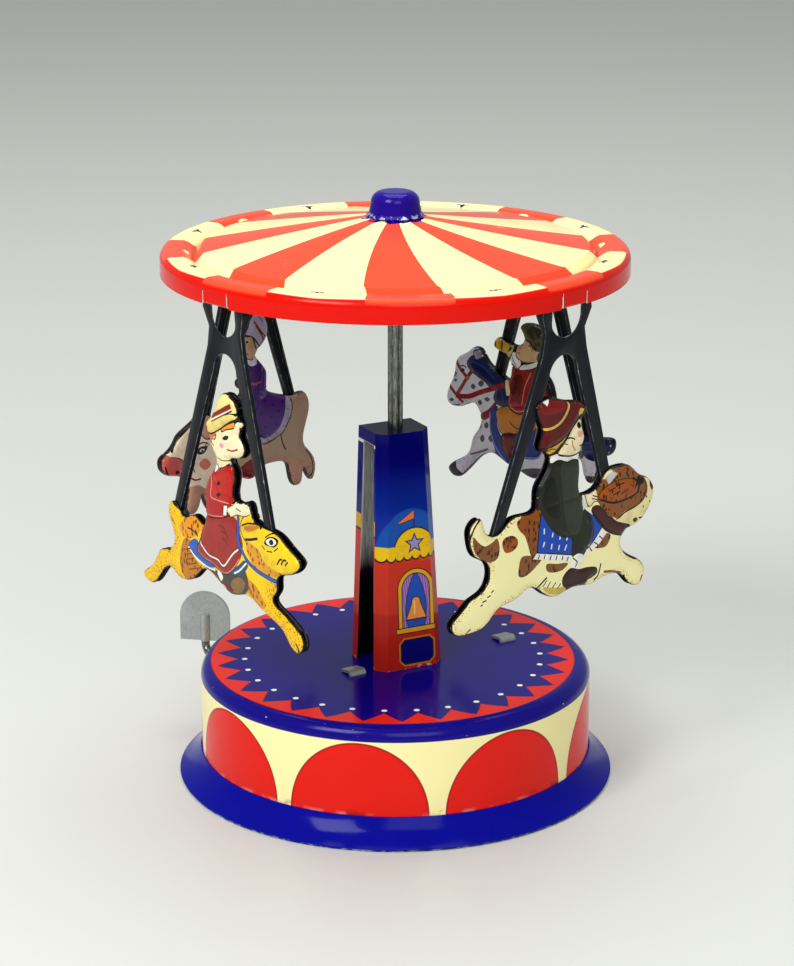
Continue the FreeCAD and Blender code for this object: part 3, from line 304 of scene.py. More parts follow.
def bare_tin(name, tone=TIN, rough=0.34, grain=(1, 1, 12), metal=1.0):
    """Rolled tinplate: fine lines along the rolling, cloudy grey patches, tiny pits."""
    finish = Finish(name, tone, rough, metal)
    lines = finish.noise(0.35, 3, 0.6, grain)
    cloud = finish.noise(5, 4)
    finish.layer(cloud.over(0.5, 0.5) * 0.45, linear("8C9092"))
    finish.layer(lines.over(0.55, 0.3) * 0.35, linear("D6DADA"))
    spots = finish.noise(0.9, 4).over(0.72, 0.06)
    finish.layer(spots * 0.5, linear("6A5F52"), 0.6)
    finish.rough = finish.blended(finish.rough, rough + 0.16, cloud.over(0.5, 0.4))
    finish.raised(lines * 0.008)
    finish.raised(spots * -0.01)
    return finish.done()


# Canopy

def canopy_finish():
    finish = Finish("canopy_print", linear("DC0E02"), 0.16)
    angle = finish.azimuth()
    r = finish.radius
    wobble = finish.noise(9, 2) * 0.5
    centre = r.least(52.0) * 0.137 + (r.between(52.5, 200, 4) * 1.8) + 264.6
    off = (angle - centre).folded(PANEL_STEP)
    half = (r - 7.0) * 0.004 + 10.1
    cream = (off.size() - half) * r * DEGREE
    tips = r + (off.folded(PANEL_STEP, 22.5).size() * 0.035)
    field = cream.over(0.0, 0.16) * tips.under(61.6, 0.3)
    finish.layer(field, CREAM)
    finish.layer(cream.size().under(0.16, 0.12) * r.under(61.0, 0.3), RED_LINE)
    # Red that faces upwards is painted a lighter orange-red: painted sheen
    finish.layer(finish.nz.over(0.5, 0.3) * cream.under(0.0, 0.16), linear("F04C2D"))
    # A small half-moon in each red panel, in the groove's outer wall
    moon_x = off.folded(PANEL_STEP, 1.2) * r * DEGREE
    moon = far(moon_x, (r - 54.9) * 1.5).under(1.9, 0.2) * (r - 54.9).over(-0.2, 0.2)
    finish.layer(moon, CREAM)
    # A small bird in each cream panel
    bird_x = off.folded(PANEL_STEP, 22.0) * r * DEGREE
    bird_y = r - 57.4
    wings = (bird_y + bird_x.size() * -0.55 + 0.5).size().under(0.42, 0.15) * bird_x.size().under(1.8, 0.2)
    body = far(bird_x * 2.4, bird_y + 0.3).under(1.35, 0.2)
    finish.layer(wings.most(body), linear("1B1560"))
    # Yellow stains, a brown band in the groove that is painted shade, blue that ran out under the cap
    stain = finish.noise(6, 4, 0.65).over(0.68, 0.05) * r.between(24, 45, 6)
    finish.layer(stain * 0.35, linear("C9B93A"))
    finish.layer((r - 53.7).size().under(0.5, 0.9) * (wobble + 0.15), linear("7E4A22"), 0.5)
    spill = (r + finish.noise(2.4, 2) * -7.0).under(4.6, 0.2) * r.under(10.5, 0.3)
    finish.layer(spill, CAP_BLUE, 0.2)
    # Chips and grime along the skirt's lower edge
    low = finish.z.under(142.3, 0.8) * finish.noise(2.6, 4).over(0.56, 0.1)
    finish.layer(low * 0.6, linear("7E2A1E"), 0.45)
    smooth_lacquer(finish)
    # The underside and the cut edges stay bare, and the cut edges of the skirt get a near-white painted
    # highlight
    round_about = (finish.ny * finish.x - finish.nx * finish.y) / finish.radius.most(0.01)
    sideways = round_about.size().over(0.6, 0.1)
    on_skirt = r.over(61.0, 0.3)
    up = finish.nz.over(0.02, 0.04)
    out = finish.outward().over(0.25, 0.1)
    printed = up.most(out * r.over(61.95, 0.05)) * finish.nz.over(-0.75, 0.1) * sideways.flipped()
    bare = printed.flipped()
    grey = finish.mixed(linear("9EA2A2"), linear("C8CCCA"), finish.noise(8, 4).over(0.5, 0.4))
    finish.colour = finish.mixed(finish.colour, grey, bare)
    finish.metal = bare * sideways.flipped() * 0.95
    finish.rough = finish.blended(finish.rough, 0.36, bare)
    # Painted highlight: near-white along the skirt's cut edges
    finish.layer(sideways * on_skirt, linear("F6F6F2"), 0.3)
    return finish.done(specular=0.14)


# Drum

def drum_finish():
    finish = Finish("drum_print", BLUE, 0.13)
    r = finish.radius
    turn = finish.azimuth()
    # Top: a ring of teeth that point inwards, with a dot before each tip
    across = finish.x + 0.75
    ring = far(across, finish.y)
    ring_turn = finish.y.calc("ARCTAN2", across) * TO_DEGREES
    off = ring_turn.folded(TOOTH_STEP, 267.0)
    tooth = off.size() * (5.9 / 6.0) + 42.9
    teeth = (ring - tooth).over(0.0, 0.22) * ring.under(50.3, 0.2)
    top = finish.z.over(30.4, 0.2) * finish.nz.over(0.5, 0.1)
    finish.layer(teeth * top, linear("F0281C"))
    outline = (ring - tooth).size().under(0.12, 0.12) * ring.under(50.3, 0.1)
    rim = outline.most((ring - 50.3).size().under(0.1, 0.1))
    finish.layer(rim * top, RED_LINE)
    dot = far((off * ring) * DEGREE, ring - 41.0)
    finish.layer(dot.under(0.9, 0.14) * top, DARK)
    finish.layer(dot.under(0.78, 0.14) * top, linear("FFFFFF"))
    # Wall: cream with a row of red arches
    wall = finish.z.under(28.2, 0.15) * finish.outward().over(0.3, 0.1)
    finish.layer(wall, CREAM)
    arch_x = turn.folded(ARCH_STEP, 304.4) * (1 / 20.0)
    arch_z = (finish.z - 7.0) * (1 / 20.6)
    arch = far(arch_x, arch_z.most(0.0))
    finish.layer(wall * arch.under(1.0, 0.012), RED)
    finish.layer(wall * (arch - 1.0).size().under(0.012, 0.012), RED_LINE)
    worn = finish.z.under(8.0, 0.9) * finish.noise(5, 4).over(0.55, 0.14)
    finish.layer(wall * worn * 0.5, linear("E8A08C"), 0.4)
    grime = finish.z.under(8.6, 1.4) * finish.noise(6, 3).over(0.62, 0.08)
    finish.layer(wall * grime * 0.8, linear("8E1A12"), 0.4)
    # Chips on the shoulder
    shoulder = finish.z.between(28.4, 32.0, 0.4) * r.over(50.6, 0.3)
    chip = shoulder * finish.noise(1.3, 3).over(0.74, 0.03)
    finish.layer(chip, linear("C9CCD8"), 0.35)
    smooth_lacquer(finish)
    # The inside stays bare
    inside = (finish.z.under(31.9, 0.05) * finish.nz.under(-0.3, 0.1)).most(finish.outward().under(-0.2, 0.1))
    finish.layer(inside, TIN, 0.34, 0.95)
    return finish.done(specular=0.14)


def enamel_finish(name, colour, low_edge, shine=0.12):
    """Glossy enamel, chipped to the metal along its lower edge."""
    finish = Finish(name, colour, 0.1)
    finish.layer(finish.noise(14, 3).over(0.5, 0.5) * 0.25, tuple(v * 0.6 for v in colour[:3]) + (1.0,))
    edge = finish.z.under(low_edge, 0.5) * finish.noise(1.6, 3).over(0.55, 0.06)
    finish.layer(edge, linear("C4C8CE"), 0.35, 0.8)
    chips = finish.noise(1.1, 3).over(0.8, 0.02)
    finish.layer(chips, linear("9FA2B4"), 0.4)
    smooth_lacquer(finish, 0.03)
    return finish.done(specular=shine)


# Tower

def tower_finish():
    finish = Finish("booth_print", linear("05056E"), 0.12)
    c, s = math.cos(math.radians(TOWER_TURN)), math.sin(math.radians(TOWER_TURN))
    x = finish.x * c + finish.y * s
    y = finish.x * -s + finish.y * c
    across = finish.nx * c + finish.ny * s
    facing = finish.nx * -s + finish.ny * c
    h = finish.z - DRUM_TOP
    side = y.over(0.0, 0.1) * 2.0 - 1.0
    # u runs to the right across the face that is looked at, from the middle of its print
    u = x * side * -1.0 - 1.65
    # Sky, with a paler glow over the awning
    finish.layer(h.under(50.0, 16.0), linear("082C9A"))
    glow = far(u + 1.0, (h - 33.0) * 0.8).under(9.6, 0.3) * h.over(33.0, 0.3)
    finish.layer(glow, linear("1450AC"))
    # Red wall under a yellow awning with a dome and a scalloped edge
    finish.layer(h.under(33.6, 0.15), linear("C8321E"))
    finish.layer(h.under(16.0, 0.8) * 0.6, linear("AE150C"))
    dome = far(u, (h - 33.2) * 0.98)
    finish.layer(dome.under(6.5, 0.15) * h.over(33.0, 0.1), linear("2A1B30"))
    scallop_x = u.folded(2.5, 0.4)
    scallops = far(scallop_x, (h - 32.6) * 0.8)
    finish.layer(scallops.under(1.7, 0.12) * h.under(32.6, 0.1), linear("2A1418"))
    lip = h.between(32.4, 34.9, 0.15)
    hem = lip.most(scallops.under(1.3, 0.12) * h.under(32.6, 0.1))
    crest = dome.under(6.1, 0.15) * lip.flipped() * h.over(33.0, 0.1)
    finish.layer(hem.most(crest), linear("F0C417"))
    ochre = finish.noise(1.1, 3).over(0.58, 0.2) * dome.under(6.1, 0.2) * h.over(30.0, 0.1)
    finish.layer(ochre * 0.3, linear("C98A12"))
    # Five-pointed star
    away = far(u, h - 35.2)
    turn = (u.calc("ARCTAN2", h - 35.2) * TO_DEGREES).folded(72.0) * DEGREE
    star = away * turn.calc("SINE").size() * 0.927 + away * turn.calc("COSINE") * 0.375
    finish.layer(star.under(1.2, 0.1), linear("2E2348"))
    finish.layer(star.under(0.86, 0.1), linear("9C8FC6"))
    # A pennant on its mast
    finish.layer(u.size().under(0.14, 0.08) * h.between(39.3, 44.6, 0.2), linear("14102C"))
    reach = u * -1.0
    flag = ((h - 43.3) + reach * 0.42).size() + reach * 0.2
    finish.layer(flag.under(1.3, 0.1) * reach.between(-0.15, 4.9, 0.1), linear("14102C"))
    finish.layer(flag.under(1.1, 0.1) * reach.between(0.0, 4.7, 0.1), linear("E8743A"))
    # Arched window with a looped curtain and a bell
    arch_top = far(u, (h - 22.6).most(0.0))
    for reach, colour in ((5.6, "281418"), (5.3, "E0A81C"), (4.35, "281418"), (4.05, "1D50B4")):
        finish.layer(arch_top.under(reach, 0.12) * h.over(11.4, 0.1), linear(colour))
    inner = arch_top.under(4.05, 0.12) * h.over(11.8, 0.1)
    drape = u.size() + (h - 16.6) * (h - 16.6) * 0.026
    curtain = drape.over(3.25, 0.15) * inner
    folds = (u * 9.0 + h * 0.8).calc("SINE").over(0.5, 0.4)
    finish.layer(drape.over(3.0, 0.15) * inner, linear("281418"))
    finish.layer(curtain, linear("A97AC4"))
    finish.layer(curtain * folds, linear("75489A"))
    bell_wide = (h - 18.9) * -0.4 + 1.0
    bell = u.size() - bell_wide
    crown = far(u, h - 18.8)
    finish.layer(bell.under(0.3, 0.12) * h.between(13.6, 19.2, 0.12), linear("281418"))
    finish.layer(crown.under(1.5, 0.12) * h.over(18.7, 0.1), linear("281418"))
    finish.layer(crown.under(1.2, 0.12) * h.over(18.7, 0.1), linear("EE9440"))
    finish.layer(bell.under(0.0, 0.12) * h.between(14.0, 18.9, 0.12), linear("EE9440"))
    finish.layer((u + 0.5).size().under(0.22, 0.2) * h.between(15.2, 19.0, 0.3), linear("F8C878"))
    finish.layer(far(u, h - 13.5).under(0.62, 0.12), linear("5B2A66"))
    # Sill, and a dark panel with cut corners below it
    finish.layer(u.size().under(6.2, 0.1) * h.between(10.0, 11.8, 0.12), linear("281418"))
    finish.layer(u.size().under(6.0, 0.1) * h.between(10.3, 11.5, 0.12), linear("E0A020"))
    for grow, colour in ((0.55, "C87424"), (0.05, "281418"), (-0.3, "08066E")):
        flat = (u.size() - 5.0 - grow).most((h - 4.8).size() - 3.5 - grow)
        cut = (u.size() + (h - 4.8).size() - 7.3 - grow * 1.4)
        finish.layer(flat.most(cut).under(0.0, 0.12), linear(colour))
    # The back flanges and the folded head carry plain bands
    flank = across.size().over(0.88, 0.06)
    finish.layer(flank * h.over(37.6, 0.15), linear("06087A"))
    finish.layer(flank * h.between(37.0, 37.8, 0.1), linear("14102C"))
    finish.layer(flank * h.between(37.8, 41.8, 0.15), linear("D8A820"))
    finish.layer(flank * h.under(37.2, 0.15), linear("C8321E"))
    finish.layer(flank * h.under(16.0, 0.8) * 0.6, linear("AE150C"))
    finish.layer(h.over(TOWER_RISE - 0.3, 0.1) * finish.nz.over(0.6, 0.1), linear("03033C"), 0.3)
    chips = h.under(0.7, 0.4) * finish.noise(1.2, 3).over(0.6, 0.06)
    finish.layer(chips, linear("B0A8A0"), 0.35)
    smooth_lacquer(finish, 0.015)
    # Bare inside with the grain of the rolling, painted darker towards the drum as a painted reflection of
    # it; the cut edges get a painted highlight
    inward = (facing * side).under(-0.3, 0.1).most(finish.nz.under(-0.4, 0.1))
    cut_edge_highlight = inward * (across * (x.over(0.0, 0.1) * 2.0 - 1.0)).over(0.3, 0.1)
    grain = finish.noise(0.35, 3, 0.6, (1, 1, 14))
    metal = finish.mixed(linear("9EA29C"), linear("F4F6F0"), grain.over(0.5, 0.5))
    # Painted reflection of the drum: the inside turns dark purple, then black, towards it
    metal = finish.mixed(linear("3A0C30"), metal, (h + grain * 6.0).over(31.5, 7.0))
    metal = finish.mixed(linear("05050C"), metal, (h + grain * 6.0).over(27.0, 6.0))
    metal = finish.mixed(metal, linear("F2F4F0"), cut_edge_highlight)
    finish.colour = finish.mixed(finish.colour, metal, inward)
    # Painted highlight: the underside of the folded head and a band on the outside of each back flank below
    # it are painted near-white
    brow_highlight = finish.nz.under(-0.5, 0.1) * h.over(50.0, 0.1)
    flap_highlight = (across.size().over(0.88, 0.06) * h.between(TOWER_RISE - 4.2, TOWER_RISE - 3.3, 0.1)).most(brow_highlight)
    finish.layer(flap_highlight * inward.flipped().most(brow_highlight), linear("F2F4F0"))
    finish.metal = inward * 0.35
    finish.rough = finish.blended(finish.rough, 0.3, inward)
    return finish.done(specular=0.12)


def hanger_finish():
    finish = Finish("hanger_black", linear("12141B"), 0.34)
    finish.layer(finish.noise(4, 4).over(0.55, 0.3) * 0.35, linear("20232B"), 0.4)
    smooth_lacquer(finish, 0.01)
    return finish.done(specular=0.16)


def worn_edge_finish():
    """Black paint rubbed through to the tin along folded edges."""
    finish = Finish("worn_edge", linear("2A2D33"), 0.34)
    rubbed = finish.noise(2.6, 4, 0.65)
    finish.layer(rubbed.over(0.5, 0.14), linear("6E7274"), 0.4)
    finish.layer(rubbed.over(0.66, 0.06), linear("C8CAC8"), 0.36)
    return finish.done(specular=0.2)


def brass_finish():
    finish = Finish("gear_brass", linear("C79A45"), 0.3, 1.0)
    rings = finish.noise(0.4, 3, 0.6, (1, 1, 8))
    finish.layer(finish.noise(3.5, 4).over(0.5, 0.5) * 0.5, linear("9A7330"), 0.42)
    finish.layer(finish.noise(1.2, 4).over(0.66, 0.08) * 0.6, linear("5A4422"), 0.55)
    finish.raised(rings * 0.01)
    return finish.done()


def steel_finish(name, tone, rough, dark, blued=0.0, metal=1.0):
    finish = Finish(name, linear(tone), rough, metal)
    finish.layer(finish.noise(2.5, 4).over(0.5, 0.4) * 0.5, linear(dark), rough + 0.12)
    if blued:
        finish.layer(finish.noise(6, 2).over(0.5, 0.4) * blued, linear("27365E"))
    drawn = finish.noise(0.22, 3, 0.6, (1, 1, 14))
    finish.layer(drawn.over(0.56, 0.2) * 0.3, linear("E6EAEA"))
    finish.layer(finish.noise(0.8, 4).over(0.74, 0.05) * 0.6, linear("5C4A38"), 0.6)
    finish.raised(drawn * 0.006)
    return finish.done()


# Animals and riders

# Each print is a list of shapes, laid one over the other. A shape is its kind, its colour, how far it is
# pressed outwards (or a line's width) in mm, and its points in mm along the figure and up from its hook. A
# slash parts shapes that share all but their points.
RABBIT_PRINT = """
poly 17110C 0 -9,-22 14,-22 14,-49.6 8.6,-50.2 5.6,-52.6 2,-52 -4,-46 -9,-36
coat C07A1C 0 -17.2,-67.3 -14.4,-67.2 -14,-69.5 -12.2,-72.1 -10,-73.8 -11.9,-76.5 -16.2,-78.8 -19,-77.3
  -19.7,-73.3 -18.7,-69.7
coat E8961C 0.2 -18.4,-62.6 -15.1,-61 -11.8,-61.3 -10,-62.5 -11,-64.6 -14.4,-66.6 -17.6,-66.9 -19.4,-65.1
coat D98E20 0.04 10.4,-71 14.4,-71.6 16.9,-73.6 19.1,-76.2 16.8,-77.6 13.4,-75.9 10.3,-74
fill 4A443E 0 -9.4,-71.4 -4.4,-72.3 1.9,-72.2 7.4,-68.8 10.5,-69.1 11.7,-73.1 9,-76 3.6,-77.5 -1.8,-76.2
  -5.9,-74.3
fill 8A6A40 0.1 3.7,-73.9 7.3,-71.6 9.9,-72.5 8.5,-75.3 4.9,-76.6
fill F6F2E6 0.1 -2.2,-72.2 -0.8,-72.4 0.1,-73.5 -0.9,-74.9 -2.2,-73.6
fill 6E1C20 0.1 -0.9,-75.4 2.7,-75 4.9,-76 1.8,-76.6
fill CFCFC8 0.1 -2.7,-76.5 0,-75.5 1.3,-76.5 -1,-77.7
fill 2F5DB8 0.1 -15.4,-68.5 -12,-66 -9.3,-68.1 -6.2,-69.7 -3,-71.6 -7.6,-72.3 -12.2,-71.3
line F6F2E6 0.5 -15.4,-69.1 -12.2,-71.3 -7.6,-72.6 -3.5,-72.6
fill 2C4F78 0.1 3.8,-70.6 7.4,-68.3 10.1,-66.2 11.8,-67.4 9.1,-70.3 5.5,-71.5
line F6F2E6 0.5 5.5,-71 8.2,-69.4 11,-66.8
fill A02C28 0.35 -7.6,-59.1 -0.8,-57.1 6,-56 7.7,-58.8 9.3,-62.1 8.3,-65.9 5.6,-69.3 1.9,-72.2 -1.2,-72
  -4.8,-71 -8.5,-70.3 -11.2,-68.8 -9.7,-65.4 -8.7,-62.1
line D98A80 0.33 -10.7,-69 -8,-70.2 -4.4,-70.6 -1.2,-71.7 1.9,-71.9 5.1,-69.7 7.9,-66.5
line 2A0E0E 0.8 -9.7,-66.2 -7.5,-67.8 -5.2,-68.9 -1.6,-69 0.2,-69.9 1.5,-69.9 3.4,-68 5.7,-65.5 8,-63.8
line F6F2E6 0.45 -9.7,-66.2 -7.5,-67.8 -5.2,-68.9 -1.6,-69 0.2,-69.9 1.5,-69.9 3.4,-68 5.7,-65.5 8,-63.8
line 5A1414 0.33 -0.8,-59.3 1.4,-59.5 2.7,-60.6 / 0.5,-60.6 2.7,-61.1 3.6,-62.2 / 1.3,-62.6 2.6,-63
  3.5,-64.2
fill F2CC1C 0.5 10.4,-54.3 12.2,-53.6 15.6,-55.1 19.1,-55.3 22.5,-55.2 26.4,-56.4 30.1,-58.5 33.5,-60.6
  33,-62.8 29.2,-65.4 24,-67.1 20.6,-66.7 17.1,-65.2 15,-62 11.1,-61.1 9,-59.2 8.6,-56.9
coat E09A1E 0 10.7,-61.5 13.8,-61 17.2,-61.4 18.9,-63.6 22.3,-65.1 26.2,-65.7 21.4,-67.8 17.1,-67.6
  13.2,-65.9
fill E9B61C 0.2 9,-56.8 11.3,-55.7 15.2,-55 17.8,-55.6 15.6,-57.3 11.6,-58.3 9.4,-58
fill C07A20 0 11.2,-56.8 14.3,-55.7 16.5,-56 13.8,-57.4 11.6,-57.7
line 2A1608 0.42 9.9,-56.8 12.6,-55.6 15.6,-55.4 17.4,-56
line 17110C 0.7 10.7,-60.4 13.8,-59.6 16.4,-58.7
fill 17110C 0 19.5,-58.7 20.8,-57.3 22.9,-56.6 24.9,-57 25.1,-58 23.7,-59.2 21.6,-59.4 19.9,-59.4
fill F6F2E6 0.1 20.1,-58.5 21.2,-57.5 22.9,-57 24.2,-57.3 24.4,-58 23.3,-58.9 21.6,-59.2
fill 17110C 0 21.6,-58.2 22.3,-57.4 23.4,-57.7 23.3,-58.5 22.3,-58.9
line 17110C 0.38 19.9,-57.5 22.1,-56 24.7,-55.7
line 17110C 0.33 18.6,-60 19.8,-60.7 / 20.7,-60.9 22.9,-60.6 / 23.7,-60.2 25.2,-59
line 17110C 0.48 24.9,-63.4 26.3,-61.7 27.1,-61.6 / 26.7,-63 27.8,-61.5 28.8,-61.4 / 28.4,-62.8 29.4,-61.6
fill AE1E18 0.45 -3.5,-44.6 -0.8,-45 2.3,-42.9 4.1,-43.3 5.4,-45.7 5.7,-48.8 4.3,-52.3 3.7,-55.7 -1.7,-57.6
  -6.2,-58.2 -7.5,-55.3 -6.4,-50.7 -5.4,-47.2
fill BE2419 0.1 -1.8,-45.5 2.3,-43.2 4.5,-44.8 4.8,-48.5 3.4,-52 -0.2,-52.6 -2.9,-51.9 -3.2,-48.5
line E8948C 0.3 -4,-46.3 -3.7,-48.9 -4.2,-52.3 -1.5,-52.7 3.8,-52.5 / -5.9,-47.8 -7.4,-52 -7.5,-55.8
  -5.8,-57.8 -0.3,-57 2.8,-55.9
fill 2E0C0C 0.1 -1.2,-48.2 -0.2,-47.3 0.7,-47.7 -0.3,-48.6 / -1.3,-51.3 -0.3,-50.5 0.6,-50.8 -0.4,-51.7
poly 1A0A0A 0 1.5,-53.3 3.5,-52.8 3,-56.2 0.9,-56.7
poly F6F2E6 0.1 1.8,-53.5 3.2,-53.2 2.6,-56 1.3,-56.3
fill F3E9C4 0.4 3.4,-53.9 6.1,-52.4 9.2,-50.9 11.4,-51.7 12.2,-53.3 10,-54.4 6.9,-54.7 4.2,-55.9
line 17110C 0.45 9.2,-50.9 11.2,-51 12.7,-52.1
line 17110C 0.3 6.9,-53 9.1,-53.3
fill F0E2B0 0.2 -2.5,-40.6 3.8,-40.4 2.8,-42.3 0.1,-43.7 -2.6,-43.3
fill F6F2E6 0.15 -3.5,-43.2 -1.7,-43 -0.4,-43.8 -2.2,-45.6 -4,-44.7
line 17110C 0.3 -2.6,-42.7 -0.8,-43.9 -2.2,-45.6
fill F5EABC 0.55 -3.7,-36.6 -1.9,-34.5 2.2,-32.8 6.7,-30.8 9.3,-30.2 8.4,-32.8 8.8,-34.8 10.3,-35.7
  9.1,-37.6 9.5,-39.1 6.8,-40.5 3.3,-41.1 0.2,-41.5 -2.5,-40.3 -3.8,-38.7
fill D9782C 0.15 -5.5,-35.3 -2.3,-34.6 -1,-35.4 -3.3,-36.7 -4.2,-38.5 -5.5,-37.2
line 17110C 0.33 -3.7,-36.8 -1.5,-36.3 -1,-34.9
fill F29A26 0.15 0.4,-33.2 3.1,-31.6 5.8,-30.2 6.7,-31.6 3.5,-32.8 1.7,-33.7
line 17110C 0.33 0,-33.3 1.7,-33.7 3.5,-32.8 6.7,-31.7 6.3,-30.3
fill 17110C 0 1.9,-35.3 3.5,-34.3 4.6,-34.4 3.9,-35.4 2.6,-35.7
fill E79BB8 0 0.4,-37.6 1.4,-36.8 2.4,-37.3 1.6,-38.2
line C0281C 0.48 3.8,-38 6,-37.9 8.3,-37
line 17110C 0.38 8.9,-31.3 8.3,-33 9,-35 10.2,-35.8
line 17110C 0.33 -3.5,-37.3 -2.9,-38 -2.2,-38.3
fill F4E28E 0.5 -3.5,-31.4 -2.5,-28.3 -0.7,-25.8 1.6,-24 4.2,-23.9 6,-25.1 6.8,-27.3 6.7,-29.2 2.3,-31
  -1.8,-33.2 -5,-34.2 -5.4,-32.7
poly 8E1B18 0 -3,-29.9 5.1,-25.6 5.7,-26.8 -3.5,-31.4
line F6F2E6 0.33 -3.6,-31.9 5.9,-26.9
line 17110C 0.42 -3.8,-32.4 5.9,-27.4
fill F0DA80 0.6 -5.8,-32.8 -3.1,-32.2 2.3,-29.4 6.3,-28.2 9.8,-28.5 10.2,-29.4 6.7,-30 3.1,-31.6 -1.4,-34.2
  -4.6,-35.7 -6.1,-34.7
line 17110C 0.48 -5.9,-35.2 -4.1,-35.6 -0.9,-34.1 3.1,-31.6 6.7,-29.7 9.8,-29.4 / 3.8,-24 6,-25.1 7.2,-27.2
  6.7,-28.6
line 1B2F66 1.2 7.5,-55 7.7,-58.8 8.4,-62.6 11,-65.7 15.3,-67.5 19.7,-68.2 23.1,-68.6
line 2F5DB8 0.8 7.5,-55 7.7,-58.8 8.4,-62.6 11,-65.7 15.3,-67.5 19.7,-68.2 23.1,-68.6
line 17110C 0.48 31.8,-82.8 32.7,-83.9 32.6,-85.3
fill 17110C 0 -27.7,-71.7 -25.3,-70.8 -24.4,-72.3 -25.9,-72.9
line 7A4A14 0.38 -17.3,-70.4 -14.5,-69.4 / -16.9,-71.7 -14,-70.7 / -16.5,-73 -13.2,-71.8 / -15.6,-74.1
  -11.8,-72.8 / -15.6,-75.5 -10.9,-74
line 17110C 0.42 -15.6,-63.9 -12.9,-64 -11.1,-65.2
line 17110C 0.52 -23.4,-58.6 -20.6,-59.9 -17.9,-61.1
line 7A5A14 0.33 -24,-62.7 -22.7,-64 / -23.1,-63.3 -21.8,-64.6
"""

